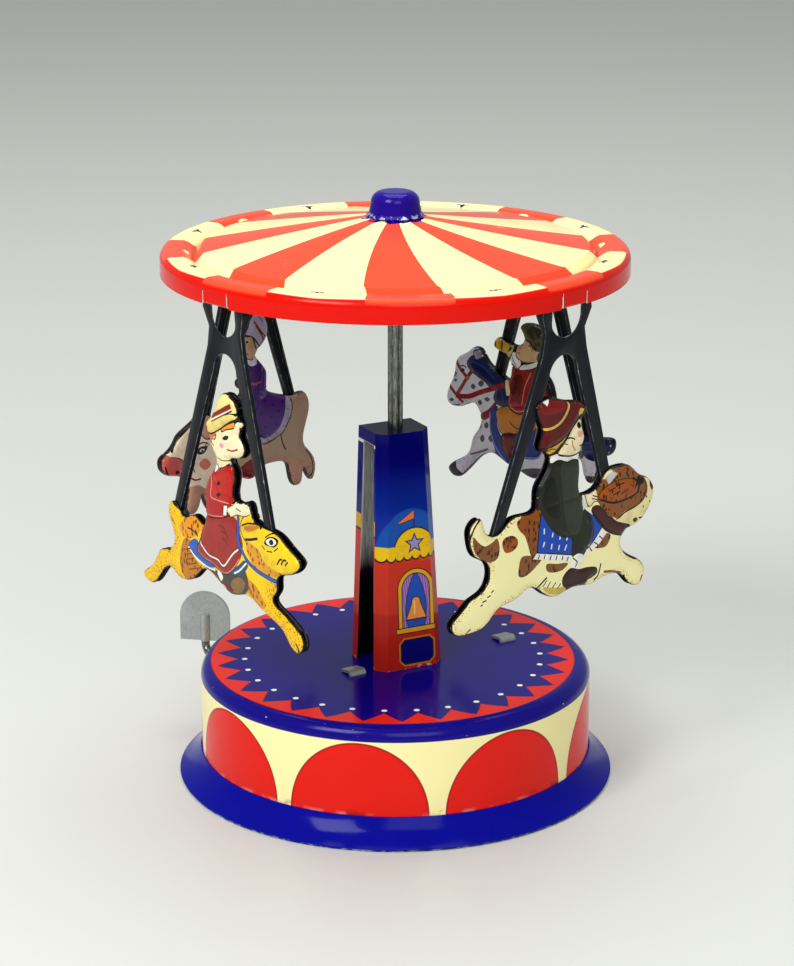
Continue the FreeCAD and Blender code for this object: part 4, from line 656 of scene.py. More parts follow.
DOG_PRINT = """
poly 17110C 0 -13,-22 9,-22 9,-50.6 4,-52 -10.4,-52.6 -13,-48
coat 8E4A14 0.04 -17.9,-54.4 -13.3,-53.2 -9.4,-53 -9.7,-57.7 -10.7,-62.4 -11.3,-65.5 -13.1,-64.5 -14.2,-61.6
  -15.4,-58.7 -17.2,-56.9
coat 9A4E12 0.04 -22.7,-58.1 -20.3,-57.6 -18.2,-58.6 -17.8,-60.5 -19.5,-61.8 -22,-61.8 -23.1,-59.9
coat 85522A 0.04 -33.1,-55.3 -31.4,-57 -29.3,-58.5 -26.6,-58.1 -24.8,-57.4 -24.1,-59.9 -24.8,-62.7
  -27.5,-63.2 -30.7,-61.4 -32.8,-58.8 / -16.3,-64.1 -13.1,-64.5 -9.2,-65.9 -10.9,-67.7 -14.5,-69.6
  -17.3,-69.2 -17.3,-66.3 / -7.3,-68 -3.7,-68.8 0.3,-69.4 -1.5,-70.9 -5.1,-70.9 -7.3,-69.9 / 9.4,-67.1
  11.6,-65.1 13.8,-64.2 16.1,-65.2 14.7,-67.7 12.4,-68
fill CDB45C 0 -8.3,-74.3 -3.6,-75.4 1.6,-76 6.4,-77.1 3.1,-78.3 -2,-77.7 -6.4,-76.4
line 17110C 0.33 -7.2,-72.6 -8.3,-74 / -5.8,-73.2 -6.8,-74.6 / -3.9,-73.9 -5,-75.1 / -2.1,-74.6 -3.2,-75.7
line 17110C 0.52 -10.8,-74.5 -9,-73 -7.2,-71.8
poly 1848B8 0.15 -9.4,-53.8 -6.8,-57.3 -3.9,-60.1 -0.2,-61.9 2,-63 1.7,-67.5 -4.1,-66 -11,-64.2 -10.4,-58.9
  / 6.2,-56 9.9,-58.7 13,-61.8 11.6,-63.7 8.7,-65.8 5.7,-67.3 7.8,-61.5
line 17110C 0.45 -9.4,-53.8 -10.4,-58.9 -11,-64.2
poly F4F2EA 0.25 -11,-64.3 1.7,-67.7 1.4,-69.3 -12.4,-65.6
line 17110C 0.33 -11,-64.2 -4.9,-65.8 1.7,-67.5
line 17110C 0.38 -10.3,-64.9 -10.6,-65.9 / -8.1,-65.4 -8.4,-66.4 / -5.9,-66.1 -6.3,-67.1 / -3.8,-66.6
  -4.1,-67.6 / -1.6,-67.1 -1.9,-68.1 / 0.3,-67.8 -0.1,-68.8
poly F4F2EA 0.2 13,-62.5 14.9,-63.9 11.6,-66.7 6.9,-69 5.4,-69.7 5,-68 9,-66.1
line 17110C 0.38 12.6,-62.3 9,-65.9 5,-68
line 17110C 0.33 11.6,-64.5 13.1,-65.7 / 9.8,-65.8 11.3,-66.9 / 7.9,-66.7 9.1,-68.1
line F4F2EA 0.42 -8.6,-58.2 -8.6,-59.6 / -5.5,-60 -5.7,-61 / -2.8,-61.4 -3,-62.2 / -0.2,-62.3 -0.4,-63 /
  -8.5,-61.8 -8.9,-63 / -5.8,-62.9 -6,-64.2 / -3.1,-63.8 -3.4,-65 / -0.5,-64.3 -1.1,-65.6
fill 23261C 0.5 -6.1,-41.4 -2.9,-40.9 1.4,-42.1 4,-42 4.5,-47.2 4.6,-51.3 5.8,-55.6 8.5,-58.9 9.3,-63.2
  7.9,-65.6 5.8,-68.2 3.6,-68.8 1.7,-67.3 1.6,-62.9 -2.4,-61.5 -6.1,-58.5 -8.7,-54.7 -10.2,-50.9 -9.6,-47.1
  -8.2,-43.6
fill 30362B 0.1 -2.9,-42 3.6,-42.8 4.2,-51.2 5.1,-56 3.4,-61.9 -0.3,-60.3 -2.3,-51.2
fill 12140E 0.1 -8.2,-46.5 -5.7,-44.6 -3.8,-50.9 -3.3,-56.4 -6.9,-55.1 -9.5,-51.1
fill F4F2EA 0.15 2.8,-67.5 5.4,-68.1 5.8,-69.8 4,-72.5 1.5,-72.1 1.8,-69.8
line 17110C 0.33 2.1,-68.5 3.6,-69.9 2.9,-71.1
fill 3E2622 0.35 1.5,-71.3 4.4,-72.3 7.4,-72.4 10.7,-73.1 11.1,-74.6 8.2,-75.6 4.1,-76.1 -0.3,-75.9 -1.4,-74
  -0.7,-72.5
line 17110C 0.33 0.1,-75.7 4.1,-75.8 8.2,-75.3 11.1,-74.6
poly F4F2EA 0.2 4.6,-51.8 6.4,-51.7 7.4,-55.7 5.3,-56.1
line 17110C 0.38 6.6,-51.6 7.5,-55.8
fill F3E6B2 0.35 6.8,-52 9,-51.9 11.3,-53.5 12.4,-55.1 9.8,-54.6 8.4,-55.6 7.2,-54.6
line 17110C 0.3 9,-52.9 11.6,-54 / 8.7,-53.6 11.7,-54.8
fill F4F2EA 0.25 -6.5,-39.2 -3,-39.3 1.4,-40.7 3.9,-40.7 4.3,-42.4 1.4,-41.8 -1.1,-41.8 -4,-41 -6.1,-41.6
  -6.9,-40.1
line 17110C 0.33 -6.1,-41.5 -3.6,-40.9 -0.7,-41.9 1.8,-41.7 4.3,-42.6
fill F6E8BC 0.5 -3.7,-39.4 -1.9,-37.1 -0.2,-35.3 1.2,-33.5 3,-31.9 4.7,-30.7 6.2,-31.8 5.9,-34.1 6.7,-36.4
  6.1,-38.7 4.3,-39.9 1,-40.4
line 17110C 0.38 -3.7,-39.4 -0.8,-40.3 2.1,-40.6 5,-39.8 6.4,-38.2
fill EBA792 0 2.5,-34.8 3.6,-34.2 4.7,-35.2 3.6,-36.1
fill 17110C 0 2.6,-32.9 3.4,-31.9 4,-33.2 3.2,-33.7
line 17110C 0.33 2.1,-31.8 3.5,-31.1
line C07848 0.33 0.6,-36.3 1,-38 1.9,-39.2
line 17110C 0.38 -0.9,-35.7 0.5,-35.6 1.6,-36.2
line A8382C 0.42 3.5,-38.3 4.8,-38.3
fill D6A83C 0.15 -10.1,-36.9 -7.3,-36.9 -3.8,-35.7 -1.3,-34.1 0.5,-32.3 1.8,-29.9 4,-28.4 5.1,-29.1
  3.7,-30.5 1.9,-32.3 0.1,-34.1 -2,-36.3 -4.4,-38.2 -6.9,-38.8 -9.4,-38.1
line 7A4A14 0.33 -8,-38.1 -6.2,-37.4 -4.4,-38 / -4.4,-37.7 -2.7,-36.7 -0.9,-37.1
line 17110C 0.33 3.7,-30.5 1.9,-32.3 0.1,-34.1 -2,-36.3 -4.4,-38.2 -6.9,-39.1
fill 5E1614 0.6 -11.1,-26.2 -9.4,-23.9 -6.9,-23.5 -3.3,-24.7 1,-26 4.6,-26.9 6.1,-28.3 5.8,-30.1 4,-28.9
  2.9,-30.9 0.5,-33.6 -3,-35.8 -6.6,-36.8 -9.8,-36.4 -10.9,-33.5 -10.3,-31 -9.9,-29.5 -11.4,-27.7
fill 7E1712 0.1 -10,-25.6 -6.2,-24.7 -1.9,-25.8 -2.5,-27.7 -6.1,-28.1 -9.6,-27.7
line 17110C 1.15 -0.4,-25.8 -1.1,-28 -3.2,-30.3 -6,-31.6 -9.2,-31.8
line D9AE5A 0.75 -0.4,-25.8 -1.1,-28 -3.2,-30.3 -6,-31.6 -9.2,-31.8
line 17110C 0.45 5.8,-30.1 4,-28.9 2.9,-30.9 0.5,-33.6 -3,-35.8 -6.6,-36.9 -9.8,-36.7
fill D6BE3C 0.1 3.6,-28.3 5.1,-28.9 4.7,-30.1 3.3,-29.9
poly F4F2EA 0 -8.3,-23.3 -7.2,-24.2 -8.6,-25.6 -9.3,-24.6
fill EFE0A4 0.55 12,-53.4 14.1,-50.3 17,-48.1 21.5,-47.7 26.1,-50 30,-52.4 32.4,-55.1 31.7,-58.3 31.1,-61.5
  28.1,-63.1 25.1,-64.1 21.3,-63.6 18.2,-61.8 15.1,-59.2 12.1,-56.4
coat 8A5226 0.15 10.5,-53.9 12.3,-51.8 14.8,-49.6 18.5,-48.2 23,-48.5 26.9,-50.4 28.9,-53.3 29,-56.1
  27.2,-58.2 24.2,-59.2 20.4,-59.5 17.8,-60.9 14.4,-58.8 12.1,-56.4
coat 9E5015 0.3 11.3,-53.8 13.4,-51.5 17.1,-50.6 21.6,-50.7 25.1,-52.5 24.8,-55.2 21.4,-55.9 16.5,-56
  12.4,-54.8
line 2A1206 0.62 12,-54.7 16.2,-56.2 21,-56.1 24.8,-55.2 25.8,-52.9 23.5,-50.8
line 2A1206 0.33 14.2,-52.5 16.4,-52.1 / 15.7,-53.9 18.3,-53.3 / 18.7,-54.2 21.3,-53.4 / 17.1,-51.7
  19.7,-51.4
poly 1E0C06 0.1 25.2,-50.9 26.6,-50.8 27.9,-52.9 26.6,-53.4 25.2,-53.2 23.8,-53.9 24.6,-52.3
line 1E0C06 0.45 27.2,-51.2 28.5,-53.4 28.3,-56 26.8,-57.9 24.1,-59.1 20.6,-59.8 17.9,-61.2
fill 5A1A18 0.25 30,-52.1 31.5,-53 32.4,-55.4 31.3,-56.2 30.1,-54.3
line 5A4020 0.38 28.6,-56.8 29,-57.4 / 30.2,-58.5 30.4,-59.1 / 27.6,-59.4 27.8,-60 / 29.5,-60.6 29.7,-61.2
fill 4A3018 0 23.9,-62.5 25,-62.1 25.8,-62.9 24.7,-63.5
line 17110C 0.42 26.2,-62.5 28.1,-62.7 30.4,-62.2
poly B9BDBE 0 14.1,-48.9 16.3,-47.7 17.8,-48.6 16,-49.8 14.5,-50.9
fill 4A2422 0.3 8.8,-56.8 11.3,-56.2 14.4,-59.3 18.2,-62.1 22.8,-63.9 22.5,-65.2 20.6,-66.2 15.3,-64.2
  11.5,-60.9
line 17110C 0.42 8.8,-57.1 12.2,-61.1 15.7,-64.3 20.6,-66.2
line 17110C 0.48 20.6,-66.2 21.8,-68.4 21.5,-71.1 25,-73.6 28.1,-74.8 29.8,-77.4
line 85522A 0.7 14.1,-75 17.2,-75.6 20.6,-76.8
line 17110C 0.48 12.6,-72.4 11.9,-75.3 10.4,-76.4
line 17110C 0.42 28,-80.7 28.7,-79.2 / 22.6,-79.2 21.8,-77.6
line 17110C 0.48 -21.8,-76.6 -16.5,-75.9 -11.9,-73.5
line 17110C 0.38 -26,-71 -26.7,-71.4 / -27.1,-72.1 -28.1,-72.4 / -28.5,-73.1 -29.8,-73.3 / -29.8,-73.9
  -30.5,-74.2
line 17110C 0.42 -35.3,-80.6 -33.9,-79.6
line 17110C 0.48 -30.1,-51 -32.2,-52.4 -33.8,-55.2 -33.8,-58.3 -32.4,-60.8 / -22.8,-54.9 -19.7,-53.5
  -15.1,-52.6 -10.5,-52.5
"""

HORSE_PRINT = """
poly 17110C 0 -9,-26 15,-26 15,-36.6 9.5,-38.4 9.5,-43 7.5,-51 -5,-50.4 -9,-46
fill 56564F 0 19.3,-47.2 18.1,-45.9 17,-46.7 18.1,-48 / 22.2,-48.6 21.2,-47.5 20.2,-48.4 21.2,-49.3 /
  29.5,-46.1 28.7,-45 27.8,-45.7 28.7,-47 / 29.1,-47.9 28.3,-47.3 27.5,-47.6 28.3,-48.4 / 19.6,-52.9
  18.6,-51.9 17.7,-52.7 18.6,-53.6 / 16.9,-51.4 15.8,-50.6 14.6,-51.1 15.7,-52 / 19.5,-59.8 18.8,-58.8
  18,-59.7 18.7,-60.8 / 17,-59.4 16,-58.1 15.1,-59 16,-60.2 / 18.5,-63.6 17.5,-62.2 16.6,-63.3 17.5,-64.6 /
  15.2,-62.9 14.1,-61.6 12.9,-62.6 14,-63.9 / 21.8,-61.5 21.1,-60.5 20.3,-61.2 21.1,-62.3 / -9.7,-56.5
  -11.2,-54.7 -12.3,-56.2 -10.9,-58 / -14.3,-59.7 -15.7,-58.2 -16.8,-59.5 -15.4,-60.9 / -7.2,-61.7
  -8.7,-60.2 -9.8,-61.5 -8.4,-62.9 / -12.5,-63 -13.6,-61.9 -14.7,-62.8 -13.6,-63.9 / -18.7,-60.8 -19.8,-59.5
  -20.9,-60.7 -19.8,-62.1
fill 33333A 0.15 31.6,-75.4 28.8,-73.3 27.2,-74.8 25.6,-76 28,-77.4 30.8,-77.1
line 55555C 0.6 22.2,-69.2 19,-67.9 15.5,-66.3
fill 33333A 0.15 -20.7,-67.5 -23.6,-66.3 -24.7,-68.4 -22.6,-70 -21.1,-68.9
fill 44444C 0.1 2.8,-70.3 -1.4,-68.6 -6.2,-68.1 -5.9,-70 -0.3,-72.1
line 33333A 0.45 11.3,-68.8 8.2,-69.6 5.1,-70.8
fill 141A4C 0.3 23.6,-41.4 21.3,-39.2 17.8,-39.7 14.7,-41.9 11.6,-43.7 8.5,-44.6 9.3,-46.8 7,-49 7.3,-51.5
  10.7,-52.1 13.1,-50.5 12.3,-47.7 14.2,-47.7 16.6,-46.1 19.7,-44.9 22.8,-43.3
line 2C3888 0.45 20.9,-40.9 17,-42 13.1,-44.5 / 12.4,-45.9 10,-48.4 9.6,-50.7
fill 141A4C 0.35 -20.4,-55.8 -23.3,-54.4 -26.9,-54.5 -29.8,-54.8 -30.2,-57.9 -27.8,-60.4 -23.8,-61.6
  -20.9,-60.7 -20.1,-58.2
line 2C3888 0.52 -21.5,-57 -25.1,-56.3 -28.4,-56.8
line 2C3888 0.45 -21.6,-59.4 -24.9,-59 -27.4,-59.4
line 8A1814 1.2 28.7,-41.4 26.7,-43.7 23.6,-46.2 / 21.3,-43.4 23.6,-46.2 25.9,-49.6 27.8,-52.1
line 8A1814 1.1 31,-49.7 28.6,-51.6 25.5,-54
line 8A1814 1.5 27.8,-52.4 23.1,-51.8 18.5,-49.7 13.5,-47.6 8.9,-45.6
fill A05A20 0.15 24.2,-46.4 23.4,-45.5 22.5,-46.1 23.4,-47
fill 7A1512 0.15 18.8,-56.4 15.3,-54.2 12.3,-51.2 12.6,-54.3 15.3,-56.9 18.4,-58.4
fill 1F2E7E 0.15 13.8,-53.9 11.5,-52.6 11.8,-57.4 10.6,-60.5 7.9,-63.6 5.9,-66.2 8.9,-69.2 12.1,-66.5
  14,-62.4 14.9,-58
fill 162A78 0.15 6,-60.8 1.5,-57.5 -4.1,-55.2 -5.7,-59.9 -4.3,-65 2.1,-66.3 5.9,-65.3
line 8088C8 0.38 14.5,-55 14.5,-59.5 12.5,-64.5 8.9,-68.3 / 2.1,-66 -4.3,-64.7 -5.7,-60.2
fill C27822 0.4 11.9,-53.9 7.3,-51.8 3.5,-52.5 0.1,-52.5 -4,-50.8 -4.8,-53.9 -2.3,-57.1 2.2,-58.5 6.8,-60
  10.2,-60.1 11.4,-57.4
line 5A3408 0.42 6.5,-56.1 4.9,-57.3 2.6,-57.7
line 5A3408 0.33 1.2,-53.3 0,-55.4
fill 6E1A1A 0.3 9.8,-60.9 5.3,-59.7 5.2,-63 6.7,-66.9 9,-65
line 17110C 0.38 9.8,-60.9 7.5,-60.2 4.9,-59.7
fill 8E1C1A 0.5 8.2,-41 4.1,-39.1 -1.6,-39.2 -3.8,-41.1 -6.1,-44.2 -6.9,-47 -4,-50.2 0.1,-52.2 3.8,-53.2
  7.3,-51.5 7.4,-47.6 8.2,-44.5
fill 5E0E0C 0.1 5.9,-42.9 2.2,-41.6 2.4,-46.7 4.7,-49.2 6.2,-47.1
line D98A80 0.3 -1.2,-40.1 1,-45 2,-50.2 / 6.9,-51.7 3.9,-52.6 0.1,-51.6
line 2A0808 0.33 4.4,-40 4.4,-43.8 5.4,-48.2
fill F0EEE8 0.25 8.6,-38.7 6.4,-38.9 6.7,-40.6 8.6,-40.9 / 2.6,-38.8 -1.5,-37.5 -1.5,-38.9 2.9,-40 /
  6.8,-35.7 4.9,-35.7 3,-38 4.4,-40 6.4,-38.3
line 17110C 0.33 6.8,-36 5.6,-38.2 4.4,-40 / 3,-38 1.1,-38.2 -1.9,-37.1
fill CDB182 0.35 9.8,-35.7 7.6,-32.9 5.7,-33.8 6.8,-36.3 7.9,-38.6 9,-37
fill E8D49C 0.3 8.9,-44.1 7.4,-45 6.6,-47.8 8.1,-48.7 8.9,-46.4
fill CDA878 0.5 3.4,-32.5 1.2,-30.9 -1.4,-31.6 -2.9,-33.4 -2.6,-36.1 0.3,-37.5 3,-37.4 4.9,-36 4.2,-33.8
fill 17110C 0 3,-32.7 2.4,-32.2 1.9,-32.6 2.5,-33
fill CF7068 0 3.8,-33.9 3.1,-33.2 2.5,-33.7 3.2,-34.3
line A8382C 0.33 4.3,-35.1 3.2,-35.4
line 17110C 0.3 0.1,-32.5 -1.4,-32.7 -1.3,-34
fill 7A4620 0.15 0.5,-30.8 -2.2,-31.5 -3.7,-33.3 -3,-34.9 -1.4,-33.1
fill 4A441A 0.5 4.3,-28.2 0.5,-27 -2.4,-26.2 -5.1,-29.2 -4,-32.3 -2.2,-33.2 -0.7,-31.5 1.6,-31 3.5,-29.6
fill 302C0C 0.1 0.5,-27.9 -2.4,-26.5 -4.3,-28.8 -2.5,-30.6 -0.3,-29.5
line 17110C 0.42 3.9,-29.6 1.6,-30.8 -1,-31.3 -2.6,-33.2
fill D2A01C 0.4 14,-35.2 13.3,-32.7 10.6,-32.9 8.7,-34 6.8,-34.5 8.7,-35.8 11.7,-35.7
line 5A3C08 0.42 13.3,-33 12.5,-35 / 10.6,-33 10.2,-35.6
fill 17110C 0 26.7,-44.6 25.6,-43.7 24.6,-44.1 25.5,-45
line 33333A 0.38 27.1,-43.8 25.6,-42.9 24,-43.2
fill 44444C 0 30.8,-54.2 29.8,-53.4 28.8,-53.8 29.8,-54.6
line 33333A 0.42 31,-55.4 29,-55.6 26.6,-54.9
fill 9A96AC 0.2 21.3,-38 19,-37 17.4,-38.8 19.8,-40.1
line 33333A 0.38 20.9,-40 21.3,-38 19,-37 / 28.8,-77.6 25.6,-76 22.5,-72.9
line 55555C 0.38 3.6,-69.3 2.8,-72.1
"""

# The first fill of the pig's print is a lighter copy of its body colour over the head: painted light
PIG_PRINT = """
fill F0DCC0 0 11,-47 15,-44 20,-46 24,-48.5 30,-52 37,-57 37,-66 30,-69.5 24,-71 18,-70.5 13,-68 10.5,-60
  10,-53
poly 17110C 0 -8,-22 6.5,-22 6.5,-44.4 3,-45.6 -8,-46.4
fill B98A72 0 -5.7,-67.4 -14.6,-68.7 -21.1,-70.1 -20.6,-74 -18.5,-77.5 -16.5,-77 -14.1,-71 -8.9,-69 /
  26.2,-70.1 22.4,-68.3 17.9,-71.1 12.5,-74.1 15.3,-77.3 18.7,-75 21.3,-72.1 24.1,-76.2
fill C85A50 0.4 34.9,-58.6 31.9,-58.4 28.2,-59.7 27.1,-62.6 27.9,-64.7 30.9,-64.6 33.9,-62.3 34.9,-60.3
fill 5A1814 0 30.9,-62.6 30.1,-62.2 29.4,-63 30.2,-63.5
line 17110C 0.42 34.5,-60.4 33.5,-62.6 30.6,-64.7 27.6,-65.1
fill D2705E 0 21.8,-62.3 19.5,-61 17.3,-63.3 19.6,-64.5
fill 1A0C0C 0 22.9,-58.5 21.3,-57.4 18.5,-57.7 19.5,-59.3 21.4,-59.6
fill F0E4D8 0 21.5,-58.5 20.6,-58 19.6,-58.5 20.6,-59
fill 1A0C0C 0 21,-58.5 20.5,-58.2 20,-58.7 20.6,-59
line 17110C 0.42 22.4,-56.9 20.5,-56.3 18.2,-56.9
line 17110C 0.33 18.6,-57.7 17.9,-57.3 / 19.4,-57.4 18.8,-56.9
line 5A1E18 0.48 25,-65.7 23.1,-66.7 21.2,-66.7
line 7A4A3A 0.42 23.3,-61.7 23.9,-63 23.4,-64.3
fill C79A80 0.35 21.5,-49.8 18,-49.1 14.7,-51.2 15.5,-54.6 18.2,-55.7 20.8,-53.4
line 5A3A2A 0.38 21.2,-53.4 18.6,-55.7 15.5,-54.8
fill 7E1618 0.2 5.7,-66.7 0.6,-65.1 -0.5,-68.6 0.7,-70.5 4.2,-70.9 5.4,-68.5
line 17110C 0.33 5.3,-66.8 3,-68.5 0.2,-68.2
line 4A2E20 0.52 -10.3,-60.5 -11,-63.1 -12.2,-65.2
line 17110C 0.45 -20.7,-67 -22.7,-69.8 -23.5,-73.7 -21.8,-76.4 / 31.5,-57 28.7,-53.5 24.1,-50.7
line 7A5A4A 0.45 -17.7,-50.1 -20.1,-49.7 -21.7,-50.9
line 7A5A4A 0.38 20.5,-71.4 19.8,-73.9
fill 4C2478 0.4 4.9,-45.6 0.2,-44.5 -3.8,-45 -8.9,-48.3 -12.4,-49.9 -12.8,-52.7 -11.1,-56.5 -9.1,-58.8
  -3.5,-59.7 1.2,-57.5 4.2,-52.2
fill 33146A 0 -3.3,-48.7 -4.1,-48.4 -4.5,-49.1 -3.7,-49.4 / -6.4,-50.5 -7.2,-50.2 -7.6,-50.9 -6.8,-51.2 /
  -1.7,-52.2 -2.5,-51.9 -2.8,-52.6 -2,-52.9 / -5.6,-53.9 -6.4,-53.6 -6.8,-54.3 -6,-54.6 / -8.8,-52.8
  -9.6,-52.5 -10,-53.2 -9.2,-53.4 / -3.2,-56.4 -4,-56.1 -4.3,-56.8 -3.5,-57.1 / -7.5,-56.4 -8.3,-56.1
  -8.7,-56.8 -7.9,-57.1 / -10.4,-50.4 -11.2,-50.1 -11.6,-50.8 -10.8,-51.1
line 33146A 0.42 -1.3,-48.6 0.3,-52.4 0,-56
fill A898B0 0.45 -12.5,-49.6 -14.8,-51 -14.8,-54.3 -13.1,-56.9 -11.1,-59.5 -7.4,-61.1 -3.5,-61.6 0.5,-59.8
  1.2,-57.8 -3.5,-60 -6.7,-59.5 -9.5,-57.7 -11.6,-54.2
line 2A1A30 0.38 -14.5,-50.3 -14.8,-54.3 -13.1,-57.5 -10.3,-60.2 -3.5,-61.8
line 8A7A9A 0.33 -12.4,-55.6 -13.9,-56.8 / -10.7,-57.3 -12.3,-58.9 / -7.9,-58.9 -9.1,-60.6 / -4.7,-59.4
  -5.1,-61.2 / -12.4,-52.9 -14.4,-53.6
fill 421E6C 0.5 1.2,-37.5 -1.6,-36.3 -3.9,-37.9 -5.4,-41.2 -5.4,-44.7 -3.7,-47.3 -0.6,-47.9 2.5,-45.8
  3.2,-41.2
fill 4E2880 0.25 -3.9,-38.2 -5.4,-42.3 -4.9,-46.4 -2.5,-48.3 -1,-46.2 -2.2,-42.9
line 2A1048 0.33 -2.3,-38.2 -1.8,-42.8 -0.6,-46.4
line B0405E 0.7 2.5,-42.3 0.1,-43.2 -2.2,-42.9
fill DCD2DC 0.25 2.7,-35.8 0,-35.4 -1.6,-34.9 -1.6,-36.9 1.2,-37.8
fill C8A27C 0.5 4.1,-29.4 2.2,-29.2 -0.1,-29.9 -1.3,-32.8 -0.4,-34.6 0.8,-35.9 2.7,-34.9 3.8,-32.4
fill 17110C 0 3.4,-30.3 2.9,-30 2.4,-30.5 3,-30.7
fill D98478 0 3.2,-32.2 2.5,-31.8 1.9,-32.5 2.6,-33
line A03028 0.33 3.6,-33.6 2.3,-34.1
fill 5E3620 0.15 0.6,-29.2 -1.7,-31.4 -2.4,-33.8 -1.2,-35.1 -0.1,-32.5
fill B4A6BE 0.5 0.9,-24.2 -1.9,-22.4 -5,-23.5 -6.1,-26.6 -5.2,-30.6 -3.6,-33.2 -1.6,-33.7 -0.5,-31.2
  0.6,-29.2 2.9,-28.5 1.7,-26.4
line 7A2E16 0.52 0.1,-24.9 -2.1,-27.7 -5.2,-30.9 / -0.6,-26.2 -2.5,-28.9 -4.4,-31.6
line 2A1A20 0.38 2.9,-28.5 0.2,-29.6 -1.7,-32 -3.2,-33.4
line 6A5A8A 0.33 -1.8,-23.6 -3.4,-25.6 / -2.5,-31.8 -3.3,-30.5
"""


class Swing:
    """One of the four swings: its hook, the way its figure faces, and places measured from the hook."""

    def __init__(self, name):
        azimuth, skew, self.spread, self.slide = SWINGS[name]
        here, turn = math.radians(azimuth), math.radians(azimuth + skew + 90)
        self.hook = np.array((HOOK_RADIUS * math.cos(here), HOOK_RADIUS * math.sin(here), HOOK_HEIGHT))
        self.along = np.array((math.cos(turn), math.sin(turn), 0.0))
        self.outward = np.array((math.sin(turn), -math.cos(turn), 0.0))

    def world(self, s, z, n):
        """Metres in the model's frame, from mm along the figure, up, and outwards."""
        s, z, n = (np.asarray(v, dtype=float)[..., None] for v in (s, z, n))
        return (self.hook + self.along * s + self.outward * n + np.array((0.0, 0.0, 1.0)) * z) * MM

    def local(self, points):
        away = points / MM - self.hook
        return away @ self.along, away[:, 2], away @ self.outward


def outline_of(name, swing, spacing=0.6):
    """The figure's outline as a loop of (s, z), read from the flat face of its pressed half."""
    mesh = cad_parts[f"{name}_outer_half"].data
    s, z, n = swing.local(np.array([v.co for v in mesh.vertices]))
    edges = {}
    for face in mesh.polygons:
        if all(n[i] > n.max() - 0.02 for i in face.vertices):
            ring = list(face.vertices)
            for a, b in zip(ring, ring[1:] + ring[:1]):
                edges[a, b] = True
    follow = {a: b for a, b in edges if (b, a) not in edges}
    start = here = next(iter(follow))
    loop = []
    while True:
        loop.append((s[here], z[here]))
        here = follow[here]
        if here == start:
            break
    loop = np.array(loop + loop[:1])
    reach = np.concatenate(([0.0], np.cumsum(np.linalg.norm(np.diff(loop, axis=0), axis=1))))
    steps = np.linspace(0.0, reach[-1], round(reach[-1] / spacing), endpoint=False)
    return counterclockwise(np.stack([np.interp(steps, reach, loop[:, k]) for k in (0, 1)], axis=1))


def counterclockwise(ring):
    x, y = ring[:, 0], ring[:, 1]
    area = np.sum(x * np.roll(y, -1) - np.roll(x, -1) * y)
    return ring if area > 0 else ring[::-1]


def smoothed(points, closed, steps=3):
    """A smooth curve through the points, straight from point to point where there are only two."""
    if len(points) < 3:
        return points
    before = points[-1:] if closed else points[:1] * 2 - points[1:2]
    after = points[:2] if closed else points[-1:] * 2 - points[-2:-1]
    run = np.concatenate((before, points, after))
    curve = []
    for a, b, c, d in zip(run, run[1:], run[2:], run[3:]):
        for t in np.arange(steps) / steps:
            curve.append(0.5 * (2 * b + (c - a) * t + (2 * a - 5 * b + 4 * c - d) * t ** 2
                                + (3 * b - a - 3 * c + d) * t ** 3))
    if not closed:
        curve.append(points[-1])
    return np.array(curve)


def widened(ring, by):
    """A closed ring moved outwards."""
    ring = counterclockwise(ring)
    step = np.roll(ring, -1, axis=0) - np.roll(ring, 1, axis=0)
    return ring + np.stack((step[:, 1], -step[:, 0]), axis=1) / np.linalg.norm(step, axis=1)[:, None] * by


def ribbon(points, wide):
    """A painted line as small four-sided faces with round joints between them."""
    faces = []
    for a, b in zip(points, points[1:]):
        step = b - a
        long = np.linalg.norm(step)
        if long < 1e-6:
            continue
        side = np.array((-step[1], step[0])) / long * wide / 2
        tip = step / long * wide * 0.2
        faces.append(np.array((a - side - tip, b - side + tip, b + side + tip, a + side - tip)))
    return faces


def read_print(text):
    """The shapes of a print, in the order they are laid: closed rings with a colour and a lift in mm."""
    shapes = []
    words = text.split()
    marks = [i for i, word in enumerate(words) if word in ("fill", "coat", "poly", "line")] + [len(words)]
    for here, stop in zip(marks, marks[1:]):
        kind, colour, amount = words[here], words[here + 1], float(words[here + 2])
        for part in " ".join(words[here + 3:stop]).split("/"):
            points = np.array([[float(v) for v in pair.split(",")] for pair in part.split()])
            if kind == "line":
                curve = smoothed(points, False)
                shapes += [(linear(colour), 0.0, face) for face in ribbon(curve, amount)]
                continue
            curve = points if kind == "poly" else smoothed(points, True)
            if amount >= 0.3:
                shapes.append((linear("17110C"), 0.0, widened(curve, 0.24)))
            # A coat is hairy: half-way between bare print and the body's own dots
            shapes.append((linear(colour)[:3] + (0.5,) if kind == "coat" else linear(colour), amount, curve))
    return [(colour, lift, counterclockwise(ring)) for colour, lift, ring in shapes]


def edge_distance(points, ring):
    """Distance in mm of each point to a closed ring."""
    best = np.full(len(points), 1e9)
    for a, b in zip(ring, np.roll(ring, -1, axis=0)):
        step = b - a
        share = np.clip((points - a) @ step / max(step @ step, 1e-12), 0.0, 1.0)
        best = np.minimum(best, np.linalg.norm(points - a - share[:, None] * step, axis=1))
    return best


def inside(points, ring):
    x, y = points[:, 0], points[:, 1]
    odd = np.zeros(len(points), dtype=bool)
    for (ax, ay), (bx, by) in zip(ring, np.roll(ring, -1, axis=0)):
        if ay != by:
            odd ^= ((ay > y) != (by > y)) & (x < (bx - ax) * (y - ay) / (by - ay) + ax)
    return odd


